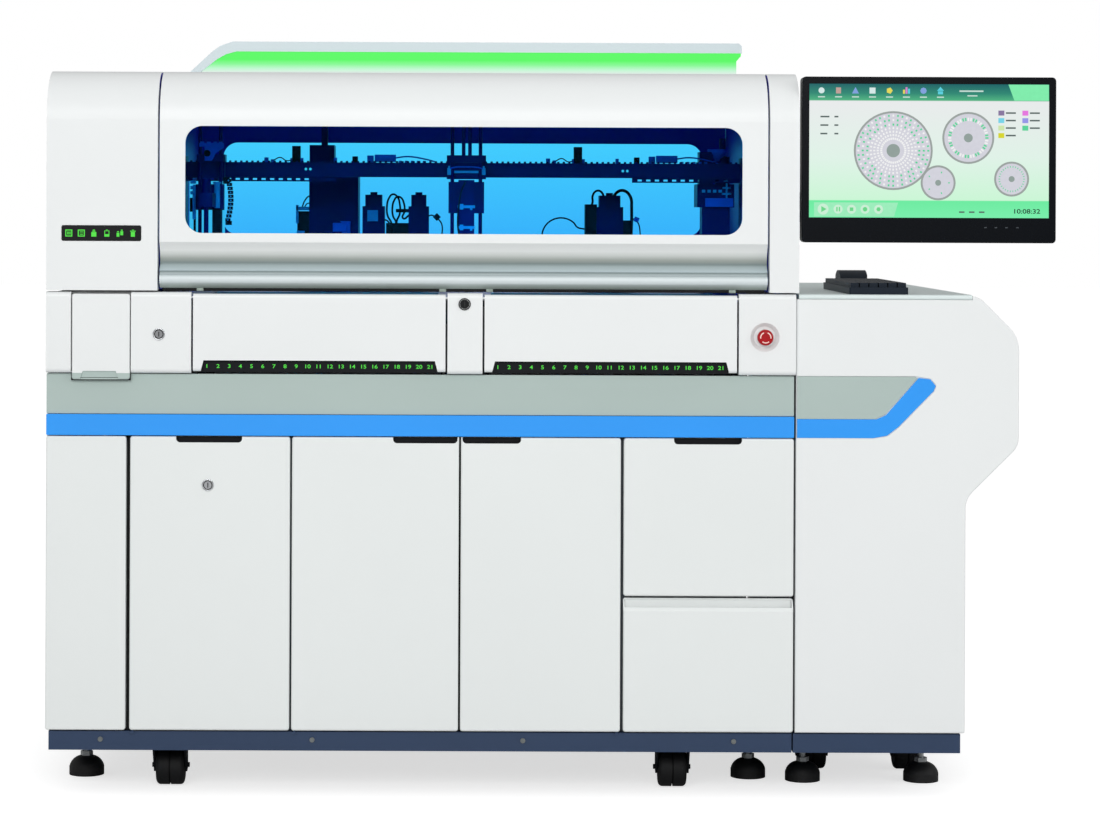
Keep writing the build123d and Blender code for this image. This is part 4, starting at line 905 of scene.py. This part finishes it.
# %% Black inserts
GRIPS = {"door_left": (260, 392), "door_centre": (694, 823), "door_right": (833, 950),
         "cuvette_drawer": (1256, 1392)}
GRIP_TOP = 717
LINING = 0.8
CUP_GAP = 0.3
LINING_FRONT = 3.3
LINING_BACK = 15.7
low_z, high_z = GRIP_TOP - 30.7, GRIP_TOP - 0.5
for body, (x0, x1) in GRIPS.items():
    x0, x1 = x0 + CUP_GAP, x1 - CUP_GAP
    inner_back = LINING_BACK - LINING
    boxes("grip_lining_" + body, black_abs, body, (
        (x0, x1, inner_back, LINING_BACK, low_z, high_z),
        (x0, x1, LINING_FRONT, inner_back, low_z, low_z + LINING),
        (x0, x0 + LINING, LINING_FRONT, inner_back, low_z + LINING, high_z),
        (x1 - LINING, x1, LINING_FRONT, inner_back, low_z + LINING, high_z)))
print(len(GRIPS), "grip linings")

# %% [markdown]
# The slot in each door's edge has rounded lower corners. The drawing leaves them square, so each
# corner gets the small web that a press tool would leave: the corner minus a quarter circle.

# %% Rounded corners of the slots
WEB_RADIUS = 8
SLOT_FLOOR = 705
WEB_FRONT = 0.6
WEB_BACK = 2.8


def add_web(mesh_maker, x, z, toward):
    """Concave corner web of a slot: its corner is at (x, z) and it opens toward +x or -x."""
    steps = 8
    arc = [(x + toward * WEB_RADIUS * (1 - math.sin(math.pi / 2 * i / steps)),
            z + WEB_RADIUS * (1 - math.cos(math.pi / 2 * i / steps))) for i in range(steps + 1)]
    add_plate(mesh_maker, [(x, z)] + arc, WEB_FRONT, WEB_BACK)


for body, (x0, x1) in GRIPS.items():
    webs = bmesh.new()
    add_web(webs, x0, SLOT_FLOOR, 1)
    add_web(webs, x1, SLOT_FLOOR, -1)
    bmesh.ops.recalc_face_normals(webs, faces=webs.faces)
    piece("grip_webs_" + body, webs, coated_steel, body)
print(2 * len(GRIPS), "corner webs")

# %% [markdown]
# The bottle drawer has a finger notch under its front. Behind the notch lies a plate in the band's
# colour. Thin black strips are painted shadow round the lower end of the front and under the
# notch's top edge.

# %% Notch plate and painted shadow lines of the bottle drawer
boxes("notch_plate", band_paint, "fill_drawer", [(56, 164, -8.8, -7, 835, 856)], bevel_mm=0.4)
shade_black = surface("black for painted shade", "08090C", 0.6, drift=0.1, patch_mm=30, grain_depth_mm=0.01)
# Black strips as painted shadow round the front's lower end and under the notch's top edge
boxes("drawer_painted_shadow", shade_black, "fill_drawer", (
    (50.2, 169.8, -6.5, -4.5, 829, 843.4), (73, 139, -9.1, -8.7, 848.2, 850.4)), bevel_mm=0.4)
print("bottle drawer given painted shadow lines")

# %% [markdown]
# Gaskets and bumpers
#
# Foam gaskets stand behind the two seams that have no post of the frame behind them; they keep
# dust out, and from the front they make the seam a clean black line. One more closes the seam at
# the back, below the hood, where light would leak out of the working space. Four felt bumpers and a
# foam strip under the lid's edge soften its fall.

# %% Foam and felt
foam = surface("closed-cell foam black", "101113", 0.85, drift=0.25, patch_mm=20, grain_mm=2.5,
               grain_depth_mm=0.15)
felt = surface("felt grey", "A9B8AE", 0.9, drift=0.2, patch_mm=8, grain_mm=1.2, grain_depth_mm=0.2)
GASKETS = {"left": (150, 178, 20.4, 25, 126, 722), "centre": (815, 841, 20.4, 25, 126, 722),
           "rear": (14, 1490, 985, 990, 990, 1016)}
for name, corner in GASKETS.items():
    boxes("gasket_" + name, foam, "cabinet", [corner], bevel_mm=0.8)
BUMPER_CENTRES = (306, 792, 886, 1372)
boxes("lid_bumpers", felt, "lid",
      [(x - 7, x + 7, 8.5, 15.5, 1007.4, 1014.4) for x in BUMPER_CENTRES], bevel_mm=1.5)
boxes("lid_seal", foam, "lid", [(231, 1436, 9.5, 14.5, 1007.8, 1014.3)], bevel_mm=1)
print(len(BUMPER_CENTRES), "bumpers")

# %% [markdown]
# Lock collars
#
# Each cam lock sits in a chrome collar with a rolled edge. In the drawing the collar is part of
# the panel. The visible ring is turned here as its own piece, one profile spun round the lock's
# axis, and it just covers the drawn one. A black ring round the plug is painted shade in the gap
# between plug and collar, and a black bar is painted shade in the slot for the key; both turn
# with the plug.

# %% Turned collars, and painted shade round the plug and in the key slot
LOCKS = {"door": (324, 620, 0, "door_left"), "fascia": (226, 922, -12, "cabinet"),
         "lid": (836, 984, -12, "cabinet")}
COLLAR_SIDES = 48
COLLAR = ((0, 12.2), (-1.2, 12.4), (-2.2, 11.8), (-2.6, 10.8), (-2.2, 9.9), (-1.0, 9.6))
PLUG_SHADE_RING = ((-2.0, 9.5), (-2.5, 9.2), (-2.7, 8.6), (-2.6, 7.6), (-2.4, 7.4))
for name, (x, z, face, body) in LOCKS.items():
    collar = bmesh.new()
    add_turned(collar, place(x, face, z), (0, 1, 0), COLLAR, COLLAR_SIDES)
    piece("lock_collar_" + name, collar, chrome if name != "lid" else gloss_black, body, smooth=True)
    # Black painted shade round the plug and in the key slot
    ring = bmesh.new()
    add_turned(ring, place(x, face, z), (0, 1, 0), PLUG_SHADE_RING, COLLAR_SIDES)
    add_box(ring, x - 0.95, x + 0.95, face - 2.3, face, z - 4.9, z + 4.9)
    piece("lock_shade_ring_" + name, ring, shade_black, name + "_lock")
print(len(LOCKS), "collars")

# %% [markdown]
# Machinery behind the blue window
#
# Through the window one sees a crowded silhouette: connectors along the beam, cables in loops over
# the motors, ties and clamps. CAD has the large blocks. What follows is the small stuff, and each
# bit rides on the block that carries it, so it moves with the carriages. A place seen in the
# picture is turned into the drawing by the camera's own perspective: further back, a pixel is
# worth more millimetres.

# %% Seen place to drawing place
AXIS_PIXEL = (455, 210)


def seen(px, py, d):
    """Drawing (x, d, z) of a spot seen at a pixel and known to lie at a depth."""
    scale = (VIEW_DISTANCE + d) / FOCAL_PIXELS
    return (AXIS_X + (px - AXIS_PIXEL[0]) * scale, d, AXIS_Z - (py - AXIS_PIXEL[1]) * scale)


cable_black = surface("PVC cable black", "0E1016", 0.45, drift=0.1, patch_mm=20, grain_depth_mm=0.004)
tube_blue = surface("polyurethane tube blue", "3C6FE8", 0.3, drift=0.06, patch_mm=20,
                    grain_depth_mm=0.004)
nylon_natural = surface("moulded nylon natural", "C9D6F2", 0.45, drift=0.06, patch_mm=15)
part_blue = surface("moulded ABS blue", "4A78E8", 0.45, drift=0.1, patch_mm=25)
print("one pixel is", round((VIEW_DISTANCE + 800) / FOCAL_PIXELS, 2), "mm at the motors")

# %% Cable trough along the back of the beam, with its teeth and connectors
TROUGH_LEFT = 240
TROUGH_RIGHT = 1428
TROUGH_FRONT = 481
TROUGH_BACK = 484.5
TROUGH_TOP = 1272
TOOTH_PITCH = 12
MODULE_STARTS = (404, 1012)
teeth = range(TROUGH_LEFT + 4, TROUGH_RIGHT - 4, TOOTH_PITCH)
boxes("cable_trough", black_anodised, "cabinet",
      [(TROUGH_LEFT, TROUGH_RIGHT, TROUGH_FRONT, TROUGH_BACK, 1250, TROUGH_TOP)]
      + [(x, x + 5, TROUGH_FRONT, TROUGH_BACK, TROUGH_TOP, TROUGH_TOP + 5) for x in teeth], bevel_mm=0.4)
PLUGS = [(0, 9, 482, 492, TROUGH_TOP, 1284), (14, 22, 482, 490, TROUGH_TOP, 1280),
         (56, 84, 484, 498, TROUGH_TOP, 1283), (150, 157, 482, 490, TROUGH_TOP, 1284),
         (222, 236, 484, 498, TROUGH_TOP, 1289), (238, 284, 485, 497, TROUGH_TOP + 3, 1291)]
PLUGS += [(x, x + 7, 484, 492, TROUGH_TOP, 1278) for x in range(290, 343, 13)]
HOUSINGS = ((60, 78, 482, 500, TROUGH_TOP, 1309), (190, 202, 482, 494, TROUGH_TOP, 1287))


def on_modules(corners):
    """The same boxes on every connector module of the beam, measured from its left end."""
    return [(start + x0, start + x1, *rest) for start in MODULE_STARTS for x0, x1, *rest in corners]


boxes("beam_plugs", part_blue, "cabinet", on_modules(PLUGS), bevel_mm=0.8)
boxes("beam_housings", black_abs, "cabinet", on_modules(HOUSINGS), bevel_mm=0.8)
CABLE = ((282, 492, 1284), (310, 492, 1287), (345, 490, 1282), (372, 486, 1275))
WIRE = ((20, 486, 1278), (34, 488, 1284), (48, 488, 1277), (60, 488, 1279))
for number, start in enumerate(MODULE_STARTS, start=1):
    tube("beam_cable_%d" % number, [(start + x, d, z) for x, d, z in CABLE], 3.2, tube_blue, "cabinet")
    tube("beam_wire_%d" % number, [(start + x, d, z) for x, d, z in WIRE], 2.4, cable_black, "cabinet")
print("trough with", len(teeth), "teeth and", len(PLUGS) * len(MODULE_STARTS), "plugs")

# %% Signal diodes on the beam and the lit panel at the left
DIODE_PLACES = ((496, 1258.5), (505.5, 1258.5), (1175.5, 1257), (1185, 1257))
diffuser = glow("lit diffuser white", "DDF6FF", 0.9)
beam_diodes = bmesh.new()
for x, z in DIODE_PLACES:
    add_rod(beam_diodes, place(x, 439.65, z), (0, 1, 0), 1.2, 2.8)
piece("beam_diodes", beam_diodes, diffuser, "cabinet")
boxes("bay_lamp", diffuser, "cabinet", [(224, 303, 700, 706, 1106, 1236)], bevel_mm=1)
boxes("bay_lamp_stand", black_anodised, "cabinet",
      [(252, 289, 700.5, 705.5, 995.8, 1106.2)], bevel_mm=0.6)
print(len(DIODE_PLACES), "diodes on the beam")

# %% [markdown]
# Cables over the motors stand in tall loops, because they have to give when the drives are
# serviced. Each loop is one smooth curve round an ellipse, with its two ends led down behind the
# motor to the deck.

# %% Motors, loops and plugs
MOTOR_DEPTH = 790
DECK_TOP = 996


def loop_points(px, py, half_width, half_height, d, start_degrees, end_degrees, steps=8):
    """Places round an ellipse seen at a pixel, sizes in millimetres."""
    x, _, z = seen(px, py, d)
    angles = [math.radians(start_degrees + (end_degrees - start_degrees) * i / steps)
              for i in range(steps + 1)]
    return [(x + half_width * math.cos(a), d, z + half_height * math.sin(a)) for a in angles]


LEADS = {
    "motor_loop_1": ([(664, 815, DECK_TOP)] + loop_points(393.5, 209, 15, 33, 815, 250, -60)
                     + [(690, 818, DECK_TOP)], 4.4),
    "motor_loop_2": ([(672, 822, DECK_TOP)] + loop_points(398.5, 210, 14, 30, 822, 245, -40)
                     + [(712, 822, 1160)], 4.4),
    "motor_lead_1": (((655, 812, 1150), (664, 806, 1146), (676, 806, 1120), (690, 812, 1070),
                      (692, 815, DECK_TOP)), 3.6),
    "motor_lead_2": (((756, 812, 1158), (764, 806, 1160), (772, 806, 1156)), 3.2),
    "motor_lead_3": (((778, 806, 1152), (786, 808, 1140), (786, 812, 1110), (780, 815, DECK_TOP)), 3.2),
    "arc_tube": ([(1016, 815, DECK_TOP)] + loop_points(561, 236, 43, 42, 815, 175, 30)
                 + [(1110, 815, 1130)], 3.6),
    "small_loop": ([(1126, 812, 1185)] + loop_points(598, 198, 13, 18, 812, 200, -20)
                   + [(1153, 816, 1182)], 5),
    "big_loop": ([(1176, 812, 1190)] + loop_points(622, 203, 22, 30, 812, 190, -10)
                 + [(1216, 816, 1130), (1210, 818, 1040), (1206, 818, DECK_TOP)], 7),
    "plug_wire": (((1214, 814, 1150), (1222, 812, 1153), (1230, 812, 1146), (1236, 814, 1120),
                   (1238, 816, DECK_TOP)), 3),
    "pump_wire_1": (((470, 812, 1178), (476, 806, 1192), (486, 806, 1202), (492, 808, 1200)), 3.2),
    "pump_wire_2": (((474, 812, 1176), (484, 804, 1186), (490, 806, 1184)), 2.6),
}
for name, (points, diameter) in LEADS.items():
    tube(name, points, diameter, cable_black, "cabinet")
print(len(LEADS), "leads")

# %% Blocks, plugs and small parts among the motors
boxes("drive_blocks", black_abs, "cabinet", (
    (1110, 1137, MOTOR_DEPTH + 4, MOTOR_DEPTH + 44, DECK_TOP, 1186),
    (1195, 1215, MOTOR_DEPTH + 6, MOTOR_DEPTH + 40, DECK_TOP, 1150),
    (660, 712, MOTOR_DEPTH + 16, MOTOR_DEPTH + 46, DECK_TOP, 1142),
    (682, 713, MOTOR_DEPTH + 20, MOTOR_DEPTH + 40, 1166, 1174),
    (459, 485.6, 806, 846, DECK_TOP, 1168)), bevel_mm=1)
for name, finish, size_mm, centre, degrees in (
        ("diamond_plug", cable_black, 13, (775, 806, 1156), 45),
        ("cube_plug", part_blue, 11, (1227, 810, 1152), 25)):
    plug = bmesh.new()
    turned = Matrix.Translation(place(*centre)) @ Matrix.Rotation(math.radians(degrees), 4, "Y")
    bmesh.ops.create_cube(plug, size=size_mm / 1000, matrix=turned)
    piece(name, plug, finish, "cabinet", bevel_mm=1)
boxes("motor_label", nylon_natural, "cabinet",
      [(618, 642, MOTOR_DEPTH - 0.6, MOTOR_DEPTH + 0.2, 1146, 1171)])
boxes("reader_stepper", part_blue, "cabinet", (
    (532, 580, 789, 800.2, 1118, 1146), (540, 572, 784, 789.2, 1122, 1142)), bevel_mm=1.5)
boxes("pump_frame", nylon_natural, "cabinet", (
    (456, 462, 802, 807, 1140, 1182), (456, 488, 802, 806.2, 1170, 1178),
    (458, 476, 802, 806.2, 1118, 1124)), bevel_mm=0.8)
print("motors dressed")

# %% Gripper clamp, rods and cable ties
GRIPPER_FRONT = 426
clamp_ends = []
for x in (799, 873):
    clamp_ends += [(x, x + 8, 414, GRIPPER_FRONT + 0.2, 1247, 1262),
                   (x + 2, x + 6, 411, 414.2, 1254, 1266)]
boxes("clamp_bar", nylon_natural, "gripper_carriage",
      [(806, 874, 420, GRIPPER_FRONT + 0.2, 1251, 1256)] + clamp_ends, bevel_mm=1)
boxes("gripper_rails", black_anodised, "gripper_carriage",
      [(x, x + 8, 412.5, 422, 1280, 1418) for x in (830, 843.5)], bevel_mm=0.6)
tube("clamp_tube", ((803, 415, 1260), (814, 411, 1263), (838, 410, 1264), (864, 411, 1263),
                    (877, 415, 1260)), 3, tube_blue, "gripper_carriage")
ties = []
for z in (1176, 1132):
    ties += [(821.5, 858.5, 384.6, 387, z, z + 6), (826, 834, 382, 387, z - 3, z + 9),
             (848, 853, 382.5, 387, z - 4, z + 4)]
boxes("gripper_ties", nylon_natural, "gripper_head", ties, bevel_mm=0.8)
tube("gripper_lead", ((826, 384.5, 1112), (822, 381, 1140), (824, 380, 1180), (830, 381, 1214),
                      (838, 384, 1232)), 3.6, cable_black, "gripper_head")
print("gripper dressed")

# %% Pipettor bracket and its chain
bracket = bmesh.new()
bracket_outline = ((281, 1275), (297, 1275), (304, 1290), (322, 1303), (322, 1309), (281, 1309))
add_plate(bracket, bracket_outline, 409.6, 412.2)
bmesh.ops.recalc_face_normals(bracket, faces=bracket.faces)
for x in (272, 286, 300, 311):
    add_box(bracket, x, x + 8, 408, 412.2, 1312, 1316)
add_box(bracket, 270, 322, 409.5, 412.2, 1305, 1313)
piece("pipettor_bracket", bracket, part_blue, "pipettor_carriage", bevel_mm=0.6)
pulley = bmesh.new()
add_rod(pulley, place(287, 403, 1291), (0, 1, 0), 7, 7)
piece("pipettor_pulley", pulley, black_abs, "pipettor_carriage")

CHAIN_LINKS = 11
links = bmesh.new()
pins = bmesh.new()
for link in range(CHAIN_LINKS):
    along = link / (CHAIN_LINKS - 1)
    x = 328 + 9 * math.sin(math.pi * (0.15 + 0.75 * along))
    z = 1233 - 84 * along
    add_box(links, x - 5.5, x + 5.5, 414, 424, z - 3.6, z + 3.6)
    add_rod(pins, place(x, 413.4, z), (0, 1, 0), 0.8, 1.7, segments=12)
add_box(links, 320, 334, 420, 430, 1226, 1240)
add_box(links, 325.8, 339, 414, 424, 1138, 1147)
piece("chain_links", links, black_abs, "pipettor_carriage", bevel_mm=0.6)
piece("chain_pins", pins, nylon_natural, "pipettor_carriage")
boxes("pipettor_valves", nylon_natural, "pipettor_head",
      [(251, 262.5, 408, 422, z, z + 7) for z in (1226, 1214, 1203)]
      + [(256, 262.5, 406, 424, 1150, 1224)], bevel_mm=1)
boxes("pipettor_manifold", black_abs, "pipettor_head", (
    (250, 256.2, 407, 423, 1166, 1196), (258, 262.6, 409, 420, 1110, 1152),
    (299, 318, 396, 406.2, 1120, 1172)), bevel_mm=1)
syringe = bmesh.new()
add_rod(syringe, place(309, 398, 1174), (0, 0, 1), 52, 6.5)
add_rod(syringe, place(309, 398, 1226), (0, 0, 1), 4, 9)
piece("pipettor_syringe", syringe, nylon_natural, "pipettor_head")
print("pipettor dressed, chain of", CHAIN_LINKS, "links")

# %% Dispenser at the right
funnel = bmesh.new()
funnel_profile = ((0, 5), (6, 6), (14, 18), (22, 21), (27, 21))
rings = add_turned(funnel, place(1385, 525, 1279), (0, 0, 1), funnel_profile)
funnel.faces.new(list(reversed(rings[0])))
funnel.faces.new(rings[-1])
piece("dispenser_funnel", funnel, part_blue, "cabinet", smooth=True)
boxes("dispenser_band", part_blue, "cabinet", [(1357, 1418, 497.4, 500.2, 1181, 1200)], bevel_mm=1)
discs = bmesh.new()
for x, z, radius in ((1403, 1236, 12), (1403, 1222, 9), (1403, 1209, 10)):
    add_rod(discs, place(x, 494, z - 2), (0, 0, 1), 4, radius)
add_rod(discs, place(1403, 494, 1200), (0, 0, 1), 50, 2)
for x in (1350, 1362, 1374, 1386):
    add_box(discs, x, x + 7, 496, 500.2, 1212, 1218)
piece("dispenser_discs", discs, nylon_natural, "cabinet")
print("dispenser dressed")

# %% [markdown]
# The floor, the light and the background
#
# The picture was lit like a product on white: broad soft light from the front, a little less from
# above, nothing harsh. The world gives most of it. Rays from the camera and through the windows see
# the world as plain white, so the background stays clean behind the machine. Reflections see it
# dimmer, like the dark end of a studio behind the photographer, which keeps the blacks black. The
# floor adds a little light of its own, for those same rays, to meet the white, and keeps the
# machine's soft shadow.

# %% World
world = bpy.data.worlds.new("studio")
bpy.context.scene.world = world
world.use_nodes = True
world_tree = world.node_tree
WORLD_LIGHT = 0.57
WORLD_GLOSS = 0.35


def looking_rays(tree):
    """The light path node, and the node that is one for rays of the camera or through a pane."""
    path = add_node(tree, "ShaderNodeLightPath")
    return path, add_node(tree, "ShaderNodeMath", {"operation": "MAXIMUM"}, {
        0: (path, "Is Camera Ray"), 1: (path, "Is Transmission Ray")})


world_path, world_seen = looking_rays(world_tree)
world_dim = add_node(world_tree, "ShaderNodeMapRange", inputs={
    "Value": (world_path, "Is Glossy Ray"), "To Min": WORLD_LIGHT, "To Max": WORLD_GLOSS})
world_level = add_node(world_tree, "ShaderNodeMapRange", inputs={
    "Value": (world_seen, "Value"), "To Min": (world_dim, "Result"), "To Max": 1.0})
background = world_tree.nodes["Background"]
background.inputs["Color"].default_value = (1.0, 1.0, 1.0, 1.0)
world_tree.links.new(world_level.outputs["Result"], background.inputs["Strength"])
print("world lights with", WORLD_LIGHT, "and mirrors as", WORLD_GLOSS)

# %% Floor
FLOOR_HALF = 40.0
FLOOR_FILL = 0.66
FLOOR_GREY = 0.65
floor_mesh = bmesh.new()
for x, y in ((-1, -1), (1, -1), (1, 1), (-1, 1)):
    floor_mesh.verts.new((x * FLOOR_HALF, y * FLOOR_HALF, 0))
floor_mesh.faces.new(floor_mesh.verts)
floor_data = bpy.data.meshes.new("floor")
floor_mesh.to_mesh(floor_data)
floor_mesh.free()
floor = bpy.data.objects.new("floor", floor_data)
bpy.context.scene.collection.objects.link(floor)
floor_finish = bpy.data.materials.new("white studio floor")
floor_finish.use_nodes = True
floor_tree = floor_finish.node_tree
floor_shader = floor_tree.nodes["Principled BSDF"]
floor_shader.inputs["Base Color"].default_value = (FLOOR_GREY, FLOOR_GREY, FLOOR_GREY, 1.0)
floor_shader.inputs["Roughness"].default_value = 0.9
floor_shader.inputs["Specular IOR Level"].default_value = 0.0
floor_shader.inputs["Emission Color"].default_value = (1.0, 1.0, 1.0, 1.0)
floor_seen = looking_rays(floor_tree)[1]
floor_fill = add_node(floor_tree, "ShaderNodeMath", {"operation": "MULTIPLY"}, {
    0: (floor_seen, "Value"), 1: FLOOR_FILL})
floor_tree.links.new(floor_fill.outputs["Value"], floor_shader.inputs["Emission Strength"])
floor_data.materials.append(floor_finish)
print("floor", 2 * FLOOR_HALF, "m square")

# %% Soft boxes
def soft_box(name, centre, target, width, height, power):
    """Rectangular area light aimed at a point, sizes in metres, power in watts."""
    lamp = bpy.data.lights.new(name, "AREA")
    lamp.shape = "RECTANGLE"
    lamp.size = width
    lamp.size_y = height
    lamp.energy = power
    holder = bpy.data.objects.new(name, lamp)
    holder.location = centre
    aim = Vector(target) - Vector(centre)
    holder.rotation_euler = aim.to_track_quat("-Z", "Y").to_euler()
    bpy.context.scene.collection.objects.link(holder)
    return holder


soft_box("front box", (-0.8, -6.5, 3.1), (0, -0.4, 0.8), 5.0, 2.2, 176)
soft_box("right box", (5.0, -3.0, 2.4), (0, 0, 0.9), 2.5, 2.5, 40)
print("lights", [lamp.name for lamp in bpy.data.lights])
